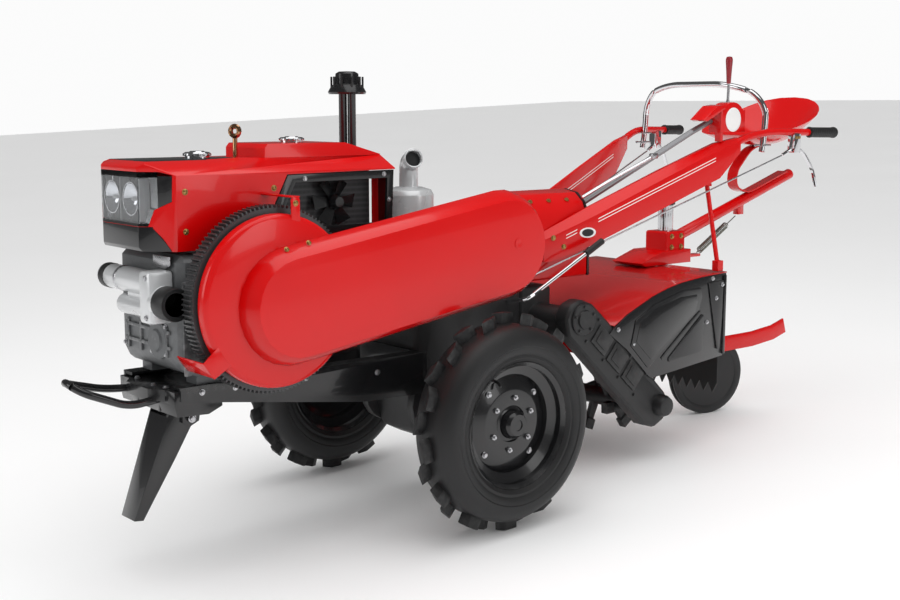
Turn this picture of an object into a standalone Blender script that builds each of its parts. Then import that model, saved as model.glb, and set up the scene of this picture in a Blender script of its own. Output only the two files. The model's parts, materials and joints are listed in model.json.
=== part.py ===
# Two-wheel walking tractor with single-cylinder engine, belt drive, rotary tiller and ride-on pan.
# Metres. +Z up, front of the machine toward -Y, the belt-guard side is +X.
# Everything is drawn with the rails level and the wheel axle over Y = 0,
# then the whole machine is set down on its two wheels and its tail wheel.
import bpy
import bmesh
import math
from mathutils import Vector, Matrix

# ---------------- driving dimensions ----------------
GAP = 0.0004

WHEEL_R = 0.310
TYRE_W = 0.165
TRACK = 0.860
RIM_R = 0.178
CARCASS_R = 0.274
LUGS = 13
WHEEL_STEPS = 24
AXLE_Z = WHEEL_R

CRANK_Y = -0.645
CRANK_Z = 0.697
RING_R = 0.242
RING_X0 = 0.225
RING_X1 = 0.272
PAN_R = 0.222
PAN_X0 = 0.282
PAN_X1 = 0.312
GUARD_X = 0.365
GUARD_WALL = 0.003
CLUTCH_Y = 0.085
CLUTCH_Z = 0.795
CLUTCH_R = 0.116
PULLEY_R = 0.085
PULLEY_X0 = 0.3155
PULLEY_X1 = 0.3570

ENG_FRONT = -0.862
ENG_X0 = -0.155
ENG_X1 = 0.175
ENG_TOP = 0.815

RAIL_X = 0.155
RAIL_T = 0.010
RAIL_TOP = 0.478
RAIL_FRONT = -0.858
RAIL_REAR = -0.062

HOOD_FRONT = -0.930
HOOD_REAR = -0.180
HOOD_HALF = 0.170
HOOD_NOSE = 0.100
HOOD_Z0 = 0.826
HOOD_EDGE = 1.015
HOOD_TOP = 1.050
HOOD_WALL = 0.0025
TANK_TOP = 1.086
TANK_FRONT = -0.560
TANK_HALF = 0.100

STAND_Y = -0.782
STAND_Z = 0.374
FOOT_Y = -0.912
FOOT_Z = 0.112
FOOT_DEPTH = 0.026

GBOX_HALF = 0.110
GBOX_FRONT = -0.0615
GBOX_REAR = 0.360

BEAM_X0 = 0.130
BEAM_SPLAY = 0.189
BEAM_Y0 = 0.450
TUBE_R = 0.0125

TILL_X0 = -0.315
TILL_X1 = 0.2975
SHEET = 0.004
ROTOR_Y = 0.780
ROTOR_Z = 0.212
CASE_X0 = 0.240
CASE_X1 = 0.2970

COL_X = -0.030
COL_Y = 1.190
COL_R = 0.027
TAIL_YAW = 17.0
TAIL_R = 0.147
TAIL_W = 0.040
TAIL_BACK = 0.185
TAIL_Z = 0.208
STEER_Z = 0.400

SEAT_Y = 1.690
EX_X = -0.132
EX_Y = -0.130
CAN_X = 0.062
CAN_Y = -0.048
RAD_X1 = 0.095
DRUM_HALF = 0.1098
HOOP_X = 0.2738
HOOP_Y = 1.342
PIV_Y = 1.452
POST_X = COL_X
POST_SLOPE = 0.311
POST_Y0 = COL_Y + 0.050
POST_Z0 = 0.716
POST_R = 0.020

# ---------------- helpers ----------------
def clear_scene():
    for item in list(bpy.data.objects):
        bpy.data.objects.remove(item, do_unlink=True)


def paint(name, color, rough, metal, alpha=1.0):
    mat = bpy.data.materials.new(name)
    mat.use_nodes = True
    shader = mat.node_tree.nodes["Principled BSDF"]
    shader.inputs["Base Color"].default_value = (color[0], color[1], color[2], 1.0)
    shader.inputs["Roughness"].default_value = rough
    shader.inputs["Metallic"].default_value = metal
    shader.inputs["Alpha"].default_value = alpha
    return mat


def solid(verts, faces):
    mesh = bpy.data.meshes.new("shape")
    mesh.from_pydata([tuple(v) for v in verts], [], faces)
    bm = bmesh.new()
    bm.from_mesh(mesh)
    bmesh.ops.recalc_face_normals(bm, faces=bm.faces)
    bm.to_mesh(mesh)
    bm.free()
    item = bpy.data.objects.new("shape", mesh)
    bpy.context.scene.collection.objects.link(item)
    return item


def prism(axis, outline, low, high):
    # outline runs in the two other axes, in x, y, z order
    def place(pair, depth):
        if axis == "x":
            return (depth, pair[0], pair[1])
        if axis == "y":
            return (pair[0], depth, pair[1])
        return (pair[0], pair[1], depth)
    count = len(outline)
    verts = [place(p, low) for p in outline] + [place(p, high) for p in outline]
    faces = [list(range(count)), list(range(2 * count - 1, count - 1, -1))]
    for i in range(count):
        j = (i + 1) % count
        faces.append([i, j, count + j, count + i])
    return solid(verts, faces)


def box(x0, x1, y0, y1, z0, z1):
    return prism("z", [(x0, y0), (x1, y0), (x1, y1), (x0, y1)], z0, z1)


def turn(profile, centre, direction=(1, 0, 0), steps=32, start=0.0):
    # closed profile of (radius, distance along the axis)
    axis = Vector(direction).normalized()
    side = axis.orthogonal().normalized()
    if abs(axis.x) > 0.9:
        side = Vector((0, 0, 1))
    up = axis.cross(side).normalized()
    side = up.cross(axis).normalized()
    base = Vector(centre)
    verts = []
    rings = []
    for radius, along in profile:
        if radius < 1e-7:
            rings.append([len(verts)])
            verts.append(base + axis * along)
            continue
        ring = []
        for k in range(steps):
            ang = start + 2 * math.pi * k / steps
            ring.append(len(verts))
            verts.append(base + axis * along + (side * math.cos(ang) + up * math.sin(ang)) * radius)
        rings.append(ring)
    faces = []
    for i in range(len(rings)):
        one = rings[i]
        two = rings[(i + 1) % len(rings)]
        if len(one) == 1 and len(two) == 1:
            continue
        for k in range(steps):
            m = (k + 1) % steps
            if len(one) == 1:
                faces.append([one[0], two[k], two[m]])
            elif len(two) == 1:
                faces.append([one[k], two[0], one[m]])
            else:
                faces.append([one[k], two[k], two[m], one[m]])
    return solid(verts, faces)


def rod(a, b, radius, steps=16):
    a = Vector(a)
    b = Vector(b)
    length = (b - a).length
    return turn([(0, 0), (radius, 0), (radius, length), (0, length)], a, b - a, steps)


def fillet(path, radius, count=4):
    pts = [Vector(p) for p in path]
    out = [pts[0]]
    for i in range(1, len(pts) - 1):
        back = (pts[i - 1] - pts[i])
        ahead = (pts[i + 1] - pts[i])
        reach = min(radius, back.length * 0.48, ahead.length * 0.48)
        one = pts[i] + back.normalized() * reach
        two = pts[i] + ahead.normalized() * reach
        for k in range(count + 1):
            t = k / count
            out.append(one * (1 - t) ** 2 + pts[i] * 2 * t * (1 - t) + two * t ** 2)
    out.append(pts[-1])
    return out


def sweep(path, shape, upright=(0, 0, 1)):
    # shape is a closed outline of (sideways, upward) pairs carried along the path
    pts = [Vector(p) for p in path]
    verts = []
    count = len(shape)
    side = None
    for i, p in enumerate(pts):
        ahead = (pts[min(i + 1, len(pts) - 1)] - pts[i])
        back = (pts[i] - pts[max(i - 1, 0)])
        if i == 0:
            along = ahead.normalized()
        elif i == len(pts) - 1:
            along = back.normalized()
        else:
            along = (ahead.normalized() + back.normalized()).normalized()
        if side is None:
            side = along.cross(Vector(upright))
            if side.length < 1e-4:
                side = along.cross(Vector((1, 0, 0)))
        side = (side - along * side.dot(along)).normalized()
        up = side.cross(along).normalized()
        for s, u in shape:
            verts.append(p + side * s + up * u)
    faces = [list(range(count))]
    for i in range(len(pts) - 1):
        for k in range(count):
            m = (k + 1) % count
            a = i * count
            faces.append([a + k, a + m, a + count + m, a + count + k])
    last = (len(pts) - 1) * count
    faces.append(list(range(last + count - 1, last - 1, -1)))
    return solid(verts, faces)


def circle(radius, steps=12):
    return [(radius * math.cos(2 * math.pi * k / steps), radius * math.sin(2 * math.pi * k / steps))
            for k in range(steps)]


def tube(path, radius, steps=12):
    return sweep(path, circle(radius, steps))


def loft(sections):
    # each section is a list of points, all of the same length
    count = len(sections[0])
    verts = [p for section in sections for p in section]
    faces = [list(range(count))]
    for i in range(len(sections) - 1):
        a = i * count
        for k in range(count):
            m = (k + 1) % count
            faces.append([a + k, a + m, a + count + m, a + count + k])
    last = (len(sections) - 1) * count
    faces.append(list(range(last + count - 1, last - 1, -1)))
    return solid(verts, faces)


def apply_modifier(item, mod):
    for other in bpy.context.selected_objects:
        other.select_set(False)
    bpy.context.view_layer.objects.active = item
    item.select_set(True)
    bpy.ops.object.modifier_apply(modifier=mod.name)


def combine(item, other, operation):
    mod = item.modifiers.new("join", "BOOLEAN")
    mod.operation = operation
    mod.solver = "EXACT"
    mod.object = other
    apply_modifier(item, mod)
    bpy.data.objects.remove(other, do_unlink=True)
    return item


def union(first, *others):
    for other in others:
        combine(first, other, "UNION")
    return first


def cut(first, *others):
    for other in others:
        combine(first, other, "DIFFERENCE")
    return first


def common(first, *others):
    for other in others:
        combine(first, other, "INTERSECT")
    return first


def soften(item, width, steps=1, angle=30.0):
    mod = item.modifiers.new("edge", "BEVEL")
    mod.width = width
    mod.segments = steps
    mod.limit_method = "ANGLE"
    mod.angle_limit = math.radians(angle)
    apply_modifier(item, mod)
    return item


def arc(cy, cz, radius, start, end, count):
    out = []
    for k in range(count + 1):
        ang = math.radians(start + (end - start) * k / count)
        out.append((cy + radius * math.cos(ang), cz + radius * math.sin(ang)))
    return out


def shift_outline(outline, distance):
    # moves a closed outline inward by the given distance (counter-clockwise order)
    count = len(outline)
    area = sum(outline[i][0] * outline[(i + 1) % count][1] - outline[(i + 1) % count][0] * outline[i][1]
               for i in range(count))
    sign = 1.0 if area > 0 else -1.0
    out = []
    for i in range(count):
        p0 = Vector(outline[i - 1])
        p1 = Vector(outline[i])
        p2 = Vector(outline[(i + 1) % count])
        d1 = (p1 - p0).normalized()
        d2 = (p2 - p1).normalized()
        n1 = Vector((-d1.y, d1.x)) * sign
        n2 = Vector((-d2.y, d2.x)) * sign
        mid = (n1 + n2).normalized()
        reach = distance / max(0.3, mid.dot(n1))
        out.append((p1.x + mid.x * reach, p1.y + mid.y * reach))
    return out


def finish(item, name, mat, place=None):
    bm = bmesh.new()
    bm.from_mesh(item.data)
    bmesh.ops.remove_doubles(bm, verts=bm.verts, dist=0.00002)
    bmesh.ops.dissolve_degenerate(bm, dist=0.00001, edges=bm.edges)
    bm.to_mesh(item.data)
    bm.free()
    item.data.materials.clear()
    item.data.materials.append(mat)
    item.name = name
    item.data.name = name
    item.parent = LEAN
    if place is not None:
        item.location = place
    return item


def mirrored(item):
    # copy of an item on the other side of the middle plane
    mesh = item.data.copy()
    bm = bmesh.new()
    bm.from_mesh(mesh)
    bmesh.ops.scale(bm, verts=bm.verts, vec=(-1, 1, 1))
    bmesh.ops.reverse_faces(bm, faces=bm.faces)
    bm.to_mesh(mesh)
    bm.free()
    other = bpy.data.objects.new("shape", mesh)
    bpy.context.scene.collection.objects.link(other)
    return other


clear_scene()

RED = paint("red_paint", (0.62, 0.004, 0.006), 0.22, 0.0)
BLACK = paint("black_paint", (0.012, 0.012, 0.013), 0.30, 0.0)
CAST = paint("cast_black", (0.030, 0.030, 0.032), 0.55, 0.3)
GREY = paint("engine_grey", (0.26, 0.27, 0.28), 0.50, 0.6)
STEEL_MAT = paint("steel", (0.33, 0.33, 0.34), 0.40, 0.9)
CHROME = paint("chrome", (0.80, 0.80, 0.82), 0.08, 1.0)
SILVER = paint("silver_can", (0.72, 0.73, 0.74), 0.32, 0.6)
COPPER = paint("copper_eye", (0.62, 0.36, 0.20), 0.25, 1.0)
TYRE = paint("tyre_rubber", (0.020, 0.020, 0.021), 0.75, 0.0)
RUBBER = paint("grip_rubber", (0.018, 0.018, 0.019), 0.60, 0.0)
LENS = paint("lamp_lens", (0.80, 0.82, 0.84), 0.08, 0.0, 0.6)
KNOB = paint("dark_red_knob", (0.25, 0.01, 0.02), 0.35, 0.0)
BELT = paint("belt_rubber", (0.02, 0.02, 0.02), 0.80, 0.0)
SPRING = paint("spring_steel", (0.22, 0.23, 0.19), 0.45, 0.8)

LEAN = bpy.data.objects.new("lean", None)
bpy.context.scene.collection.objects.link(LEAN)


# ---------------- wheels ----------------
def tyre_shape():
    half = TYRE_W / 2
    crown = CARCASS_R
    bead = RIM_R - 0.006
    outer = [(bead, 0.050), (bead + 0.030, half - 0.012), (0.238, half - 0.003), (crown, half - 0.030)]
    inner = [(crown - 0.018, half - 0.040), (bead + 0.028, half - 0.026), (bead, 0.036)]
    profile = outer + [(r, -x) for r, x in reversed(outer)]
    profile += [(r, -x) for r, x in reversed(inner)] + inner
    base = turn(profile, (0, 0, 0), (1, 0, 0), WHEEL_STEPS)
    verts = []
    faces = []
    step = 2 * math.pi / LUGS
    sweep_ang = 0.40 * step
    for side in (1, -1):
        for k in range(LUGS):
            a0 = step * (k + (0.5 if side < 0 else 0.0))
            # bar from near the middle line out to the shoulder
            marks = [(side * 0.004, a0 + sweep_ang * 1.5, 0.085), (side * 0.040, a0 + sweep_ang * 0.55,
                    0.085),
                     (side * (half - 0.001), a0 - sweep_ang * 0.15, 0.115)]
            start = len(verts)
            for n, (x, ang, wide) in enumerate(marks):
                low = crown - 0.014 if n < 2 else 0.236
                for da, rad in ((-wide, low), (-wide * 0.72, WHEEL_R), (wide * 0.72, WHEEL_R), (wide, low)):
                    t = ang + da
                    verts.append((x, rad * math.sin(t), rad * math.cos(t)))
            for n in range(2):
                a = start + 4 * n
                for q in range(4):
                    m = (q + 1) % 4
                    faces.append([a + q, a + m, a + 4 + m, a + 4 + q])
            faces.append([start, start + 1, start + 2, start + 3])
            faces.append([start + 11, start + 10, start + 9, start + 8])
    bars = solid(verts, faces)
    return union(base, bars)


def rim_shape(side):
    # side = +1 for the wheel on the guard side; the dish faces outward
    lip = RIM_R + 0.004
    seat = RIM_R - 0.0066
    well = 0.140
    s = side
    t = 0.005
    outer = [(lip, 0.062), (seat, 0.052), (seat, 0.034), (well + t, 0.024)]
    outer += [(r, -x) for r, x in reversed(outer)]
    inner = [(lip - 0.004, -0.065), (seat - t, -0.0555), (seat - t, -0.0375), (well, -0.027), (well, 0.002),
             (0.095, 0.026), (0.052, 0.026), (0.052, 0.031), (0.097, 0.031), (well, 0.011), (well, 0.027),
             (seat - t, 0.0375), (seat - t, 0.0555), (lip - 0.004, 0.065)]
    profile = [(r, x * s) for r, x in outer + inner]
    return turn(profile, (0, 0, 0), (1, 0, 0), WHEEL_STEPS)


housings = []
for label, side in (("left", 1), ("right", -1)):
    centre = (side * TRACK / 2, 0, AXLE_Z)
    spot = centre
    finish(tyre_shape(), "tyre_" + label, TYRE, spot)
    rim = rim_shape(side)
    inner_end = (TRACK / 2 - 0.290) * -1
    hub = turn([(0, inner_end), (0.034, inner_end), (0.034, 0.005), (0.088, 0.005), (0.088, 0.0270),
                (0.040, 0.0270), (0.040, 0.052), (0.030, 0.060), (0, 0.060)], (0, 0, 0), (side, 0, 0), 16)
    union(rim, hub)
    finish(rim, "wheel_" + label, BLACK, spot)
    housing = turn([(0, GBOX_HALF - 0.010), (0.088, GBOX_HALF - 0.010), (0.088, 0.128), (0.066, 0.134),
                    (0.052, 0.230), (0.052, 0.262), (0.064, 0.266), (0.064, 0.2895), (0, 0.2895)],
                   (0, 0, AXLE_Z), (side, 0, 0), 16)
    housings.append(housing)

# ---------------- gearbox and frame ----------------
gear_outline = [(GBOX_FRONT, 0.345), (-0.030, 0.215), (0.050, 0.175), (0.180, 0.180), (0.300, 0.230),
                (GBOX_REAR, 0.300), (GBOX_REAR, 0.765), (0.300, 0.800), (0.150, 0.862), (0.062, 0.866),
                (0.044, 0.850), (0.038, 0.740), (GBOX_FRONT, 0.640)]
gearbox = prism("x", gear_outline, -GBOX_HALF, GBOX_HALF)
soften(gearbox, 0.012, 1, 20)
boss = turn([(0, 0.080), (0.060, 0.080), (0.060, 0.150), (0.048, 0.170), (0.048, 0.280), (0, 0.280)],
            (0, CLUTCH_Y, CLUTCH_Z), (1, 0, 0), 18)
union(gearbox, boss, housings[0], housings[1])
finish(gearbox, "gearbox", CAST)

rail_outline = [(RAIL_FRONT, 0.442), (-0.290, 0.362), (RAIL_REAR - 0.001, 0.355), (RAIL_REAR - 0.001,
        RAIL_TOP),
                (RAIL_FRONT, RAIL_TOP)]
frame = prism("x", rail_outline, RAIL_X - RAIL_T / 2, RAIL_X + RAIL_T / 2)
union(frame, prism("x", rail_outline, -RAIL_X - RAIL_T / 2, -RAIL_X + RAIL_T / 2))
union(frame, box(0.112, RAIL_X, RAIL_FRONT + 0.0005, RAIL_REAR - 0.0015, RAIL_TOP - 0.009,
        RAIL_TOP - 0.0005))
union(frame, box(-RAIL_X, -0.112, RAIL_FRONT + 0.0005, RAIL_REAR - 0.0015, RAIL_TOP - 0.009,
        RAIL_TOP - 0.0005))
union(frame, box(-0.162, 0.162, RAIL_REAR - 0.012, RAIL_REAR, 0.402, 0.476))
union(frame, box(-0.153, 0.153, -0.420, -0.380, 0.385, 0.425))
# front head with its top plate, nose and the two stand lugs
union(frame, prism("x", [(-0.866, 0.402), (-0.775, 0.398), (-0.735, 0.415), (-0.735, 0.466), (-0.872, 0.466),
                         (-0.872, 0.430)], -0.152, 0.152))
nose_plan = [(-0.060, -0.900), (0.060, -0.900), (0.110, -0.865), (0.110, -0.800), (-0.110, -0.800),
             (-0.110, -0.865)]
union(frame, prism("z", nose_plan, 0.436, 0.4665))
cut(frame, box(-0.138, 0.138, -0.856, -0.752, 0.380, 0.452))
for s in (1, -1):
    union(frame, box(0.0560 * s, 0.0640 * s, -0.870, -0.740, 0.403, 0.456))
    lug = prism("x", [(STAND_Y - 0.022, 0.405), (STAND_Y - 0.022, STAND_Z - 0.012), (STAND_Y,
            STAND_Z - 0.024),
                      (STAND_Y + 0.026, STAND_Z - 0.012), (STAND_Y + 0.034, 0.405)], 0.0560 * s, 0.0640 * s)
    union(frame, lug)
finish(frame, "frame", BLACK)

loop_path = fillet([(0.062, -0.8735, 0.436), (0.062, -0.953, 0.428), (0.045, -1.075, 0.478), (0.0, -1.094,
        0.500),
                    (-0.045, -1.075, 0.486), (-0.075, -0.960, 0.452), (-0.075, -0.8735, 0.444)], 0.035, 3)
tow_loop = sweep(loop_path, circle(0.0105, 8))
cut(tow_loop, prism("z", shift_outline(nose_plan, -GAP), 0.40, 0.50))
cut(tow_loop, box(-0.2, 0.2, -0.872 - GAP, -0.80, 0.38, 0.50))
finish(tow_loop, "tow_loop", BLACK)

# ---------------- front stand, open channel folding back about its top bolt ----------------
stand_spot = Vector((0, STAND_Y, STAND_Z))
lean_tan = 0.1254
foot_front = (FOOT_Y - FOOT_DEPTH, FOOT_Z + FOOT_DEPTH * lean_tan)
side_line = [(-0.834, 0.392), (-0.774, 0.392), (-0.764, 0.378), (-0.772, 0.350), (-0.818, 0.268), (FOOT_Y,
        FOOT_Z),
             foot_front]


def stand_half(y, z):
    share = (0.392 - z) / (0.392 - FOOT_Z)
    return 0.0540 - 0.017 * share


outer_side = [[(stand_half(y, z) * s, y, z) for y, z in side_line] for s in (1, -1)]
stand = loft(outer_side)
hollow_line = [(-0.827, 0.420), (-0.700, 0.420), (-0.700, 0.300), (-0.780, 0.200), (-0.850, 0.080),
        (-0.925, 0.080)]
hollow = loft([[((stand_half(y, z) - 0.005) * s, y, z) for y, z in hollow_line] for s in (1, -1)])
cut(stand, hollow)
bolt = rod((-0.075, STAND_Y, STAND_Z), (0.075, STAND_Y, STAND_Z), 0.006, 12)
union(bolt, rod((0.0645, STAND_Y, STAND_Z), (0.0745, STAND_Y, STAND_Z), 0.012, 12))
union(bolt, rod((-0.0745, STAND_Y, STAND_Z), (-0.0645, STAND_Y, STAND_Z), 0.012, 12))
union(stand, bolt)
stand.data.transform(Matrix.Translation(-stand_spot))
finish(stand, "front_stand", BLACK, stand_spot)
frame_hole = rod((-0.080, STAND_Y, STAND_Z), (0.080, STAND_Y, STAND_Z), 0.0066, 12)
cut(bpy.data.objects["frame"], frame_hole)

# ---------------- engine ----------------
engine = prism("x", [(ENG_FRONT, 0.535), (ENG_FRONT + 0.040, 0.500), (-0.420, 0.500), (-0.420, ENG_TOP),
                     (ENG_FRONT, ENG_TOP)], ENG_X0, ENG_X1)
soften(engine, 0.018, 1, 30)
union(engine, box(-0.120, 0.120, -0.430, -0.150, 0.545, 0.800))
union(engine, box(-0.149, -0.095, ENG_FRONT + 0.055, -0.440, RAIL_TOP + GAP, 0.520))
union(engine, box(0.095, 0.149, ENG_FRONT + 0.055, -0.440, RAIL_TOP + GAP, 0.520))
crank_boss = turn([(0, 0.160), (0.080, 0.160), (0.080, 0.195), (0.055, 0.205), (0.055, RING_X0 - 0.005),
                   (0, RING_X0 - 0.005)], (0, CRANK_Y, CRANK_Z), (1, 0, 0), 18)
union(engine, crank_boss)
for y in (-0.800, -0.500):
    union(engine, box(-HOOD_HALF + 0.0005, HOOD_HALF - 0.0005, y, y + 0.030, ENG_TOP - 0.010, HOOD_Z0 - GAP))
finish(engine, "engine_block", GREY)

starter_y = ENG_FRONT - 0.034
starter = rod((-0.150, starter_y, 0.742), (0.100, starter_y, 0.742), 0.0325, 24)
coil = rod((-0.060, starter_y + 0.004, 0.676), (0.100, starter_y + 0.004, 0.676), 0.0270, 24)
union(starter, coil, box(-0.020, 0.080, starter_y - 0.010, starter_y + 0.012, 0.690, 0.720))
nose = box(0.0900, 0.150, starter_y - 0.036, starter_y + 0.033, 0.645, 0.778)
soften(nose, 0.010, 2, 30)
union(nose, rod((0.140, starter_y + 0.004, 0.700), (0.212, starter_y + 0.004, 0.700), 0.042, 28))
keep_out = box(0.05, 0.30, ENG_FRONT - 0.0006, -0.70, 0.60, 0.85)
cut(nose, keep_out)
union(starter, nose)
finish(starter, "starter_motor", SILVER)

wheel_spot = Vector((0, CRANK_Y, CRANK_Z))
flywheel = turn([(0, RING_X0), (0.072, RING_X0), (0.076, 0.242), (0.196, 0.242), (0.200, RING_X0),
                 (RING_R, RING_X0), (RING_R, RING_X1), (0.204, RING_X1), (0.198, 0.256), (0.080, 0.256),
                 (0.075, PULLEY_X0), (0, PULLEY_X0)], (0, 0, 0), (1, 0, 0), 32)


def pulley(radius, x0, x1, steps):
    pitch = (x1 - x0) / 3
    profile = [(0, x0), (radius, x0)]
    for k in range(3):
        mid = x0 + pitch * (k + 0.5)
        profile += [(radius, mid - 0.0060), (radius - 0.010, mid), (radius, mid + 0.0060)]
    profile += [(radius, x1), (0.030, x1), (0.030, x1 - 0.012), (0, x1 - 0.012)]
    return turn(profile, (0, 0, 0), (1, 0, 0), steps)


union(flywheel, pulley(PULLEY_R, PULLEY_X0 - 0.004, PULLEY_X1, 16))
finish(flywheel, "flywheel", GREY, wheel_spot)
clutch = pulley(CLUTCH_R, PULLEY_X0, PULLEY_X1, 20)
union(clutch, turn([(0, 0.2805), (0.040, 0.2805), (0.040, PULLEY_X0 + 0.004), (0, PULLEY_X0 + 0.004)],
                   (0, 0, 0), (1, 0, 0), 16))
finish(clutch, "clutch_pulley", STEEL_MAT, (0, CLUTCH_Y, CLUTCH_Z))


def belt_loop(extra):
    dy = CLUTCH_Y - CRANK_Y
    dz = CLUTCH_Z - CRANK_Z
    span = math.hypot(dy, dz)
    tilt = math.degrees(math.atan2(dz, dy))
    open_ang = math.degrees(math.acos((CLUTCH_R - PULLEY_R) / span))
    back = arc(CLUTCH_Y, CLUTCH_Z, CLUTCH_R + extra, tilt - 180 + open_ang, tilt + 180 - open_ang, 14)
    front = arc(CRANK_Y, CRANK_Z, PULLEY_R + extra, tilt + 180 - open_ang, tilt + 180 + open_ang, 12)
    return back + front


belt = prism("x", belt_loop(0.0110), PULLEY_X0 + 0.003, PULLEY_X1 - 0.003)
cut(belt, prism("x", belt_loop(0.0010), PULLEY_X0 - 0.02, PULLEY_X1 + 0.02))
finish(belt, "drive_belt", BELT)

# ---------------- belt guard ----------------
slope = math.degrees(math.atan2(0.110, 0.705))


def guard_line(grow):
    rear = arc(0.085, 0.793, 0.146 + grow, slope - 90, slope + 90, 12)
    front = arc(-0.620, 0.684, 0.142 + grow, slope + 90, slope + 270, 12)
    return rear + front


base_line = guard_line(0.012)
mid_line = guard_line(0.0)
top_line = guard_line(-0.016)
cover = loft([[(PAN_X1 + GAP, y, z) for y, z in base_line], [(0.345, y, z) for y, z in mid_line],
              [(GUARD_X, y, z) for y, z in top_line]])
inner_a = guard_line(0.012 - GUARD_WALL)
inner_b = guard_line(-GUARD_WALL)
inner_c = guard_line(-0.016 - GUARD_WALL)
room = loft([[(PAN_X1 - 0.01, y, z) for y, z in inner_a], [(0.344, y, z) for y, z in inner_b],
             [(GUARD_X - GUARD_WALL, y, z) for y, z in inner_c]])
cut(cover, room)
finish(cover, "belt_guard", RED)

pan = turn([(0.100, PAN_X1 - 0.003), (0.100, PAN_X1), (PAN_R - 0.014, PAN_X1), (PAN_R, PAN_X1 - 0.014),
            (PAN_R, PAN_X0), (PAN_R - 0.003, PAN_X0), (PAN_R - 0.003, PAN_X1 - 0.015),
            (PAN_R - 0.015, PAN_X1 - 0.003)], (0, CRANK_Y - 0.004, CRANK_Z), (1, 0, 0), 32)
strap_top = box(PAN_X1 - 0.004, PAN_X1 - 0.0005, -0.616, -0.590, 0.895, 0.962)
union(pan, strap_top, box(HOOD_HALF + GAP, PAN_X1 - 0.001, -0.616, -0.590, 0.9575, 0.9615))
low_dir = Vector((-0.812, -0.583))
low_side = Vector((-low_dir.y, low_dir.x))
c0 = Vector((CRANK_Y - 0.004, CRANK_Z))
quad = [c0 + low_dir * 0.205 + low_side * 0.030, c0 + low_dir * 0.262 + low_side * 0.026,
        c0 + low_dir * 0.262 - low_side * 0.026, c0 + low_dir * 0.205 - low_side * 0.030]
union(pan, prism("x", [(q.x, q.y) for q in quad], PAN_X1 - 0.0035, PAN_X1 - 0.0005))
quad = [c0 + low_dir * 0.2575 + low_side * 0.024, c0 + low_dir * 0.2615 + low_side * 0.024,
        c0 + low_dir * 0.2615 - low_side * 0.024, c0 + low_dir * 0.2575 - low_side * 0.024]
union(pan, prism("x", [(q.x, q.y) for q in quad], ENG_X1 + GAP, PAN_X1 - 0.001))
finish(pan, "guard_pan", RED)

# ---------------- hood, lamp and lower nose ----------------
def hood_body(inset, low, extra):
    half = HOOD_HALF - inset
    nose_half = HOOD_NOSE - inset * 0.41
    front = HOOD_FRONT + inset
    edge = HOOD_EDGE - inset * 0.6
    top = HOOD_TOP - inset
    rear = HOOD_REAR + extra
    ends = prism("y", [(-half, low), (half, low), (half, edge), (nose_half, top), (-nose_half, top),
                       (-half, edge)], front, rear)
    plan = prism("z", [(-nose_half, front), (nose_half, front), (half + 0.02, front + 0.07 + 0.02),
                       (half + 0.02, rear + 0.05), (-half - 0.02, rear + 0.05),
                       (-half - 0.02, front + 0.07 + 0.02)], low - 0.05, top + 0.05)
    side = prism("x", [(front - 0.02, low - 0.02), (rear + 0.02, low - 0.02), (rear + 0.02, top + 0.02),
                       (front + 0.06, top + 0.02), (front - 0.02, top - 0.026)], -half - 0.05, half + 0.05)
    return common(ends, plan, side)


def tank_body(inset, low):
    half = TANK_HALF - inset
    top = TANK_TOP - inset
    return prism("x", [(TANK_FRONT + inset, low), (HOOD_REAR - 0.0005, low), (HOOD_REAR - 0.0005,
            1.0525 - inset),
                       (-0.300, top), (TANK_FRONT + 0.010 + inset, top), (TANK_FRONT + inset, top - 0.012)],
                 -half, half)


lamp_line = [(-0.960, 0.8885), (-0.912, 0.8885), (-0.900, 0.930), (-0.868, 0.950), (-0.866, 1.016),
             (-0.890, 1.024), (-0.960, 1.024)]
nose_line = [(-0.960, 0.780), (-0.872, 0.780), (-0.870, 0.828), (-0.885, 0.858), (-0.903, 0.884), (-0.903,
        0.8878),
             (-0.960, 0.8878)]
hood = hood_body(0.0, HOOD_Z0, 0.0)
lamp = common(hood_body(0.0, HOOD_Z0, 0.0), prism("x", shift_outline(lamp_line, 0.0004), -0.3, 0.3))
lower = common(hood_body(0.0, HOOD_Z0, 0.0), prism("x", shift_outline(nose_line, 0.0004), -0.3, 0.3))
cut(hood, hood_body(HOOD_WALL, HOOD_Z0 - 0.05, 0.05))
union(hood, tank_body(0.0, HOOD_TOP - 0.004))
cut(hood, tank_body(0.004, HOOD_TOP - 0.02))
cut(hood, prism("x", lamp_line, -0.3, 0.3), prism("x", nose_line, -0.3, 0.3))
# opening for the radiator screen on the guard side
screen_line = [(-0.535, 1.008), (-0.150, 1.012), (-0.150, 0.800), (-0.590, 0.800), (-0.590, 0.905)]
cut(hood, prism("x", screen_line, 0.12, 0.25))
finish(hood, "hood", RED)
cut(lower, prism("x", [(-0.925, 0.800), (-0.905, 0.800), (-0.940, 0.8500), (-0.960, 0.862)], -0.3, 0.3))
finish(lower, "hood_lower_nose", BLACK)
cut(lamp, box(-0.30, 0.30, -0.8935, -0.80, 0.88, 1.03))
cut(lamp, box(-HOOD_NOSE + 0.012, HOOD_NOSE - 0.012, -0.918, -0.80, 0.900, 1.010))
finish(lamp, "headlight", LENS)

def cap(x, y, z, radius, high):
    return turn([(0, 0), (radius, 0), (radius, high * 0.7), (radius - 0.004, high), (0, high)], (x, y, z),
                (0, 0, 1), 24)


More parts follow.
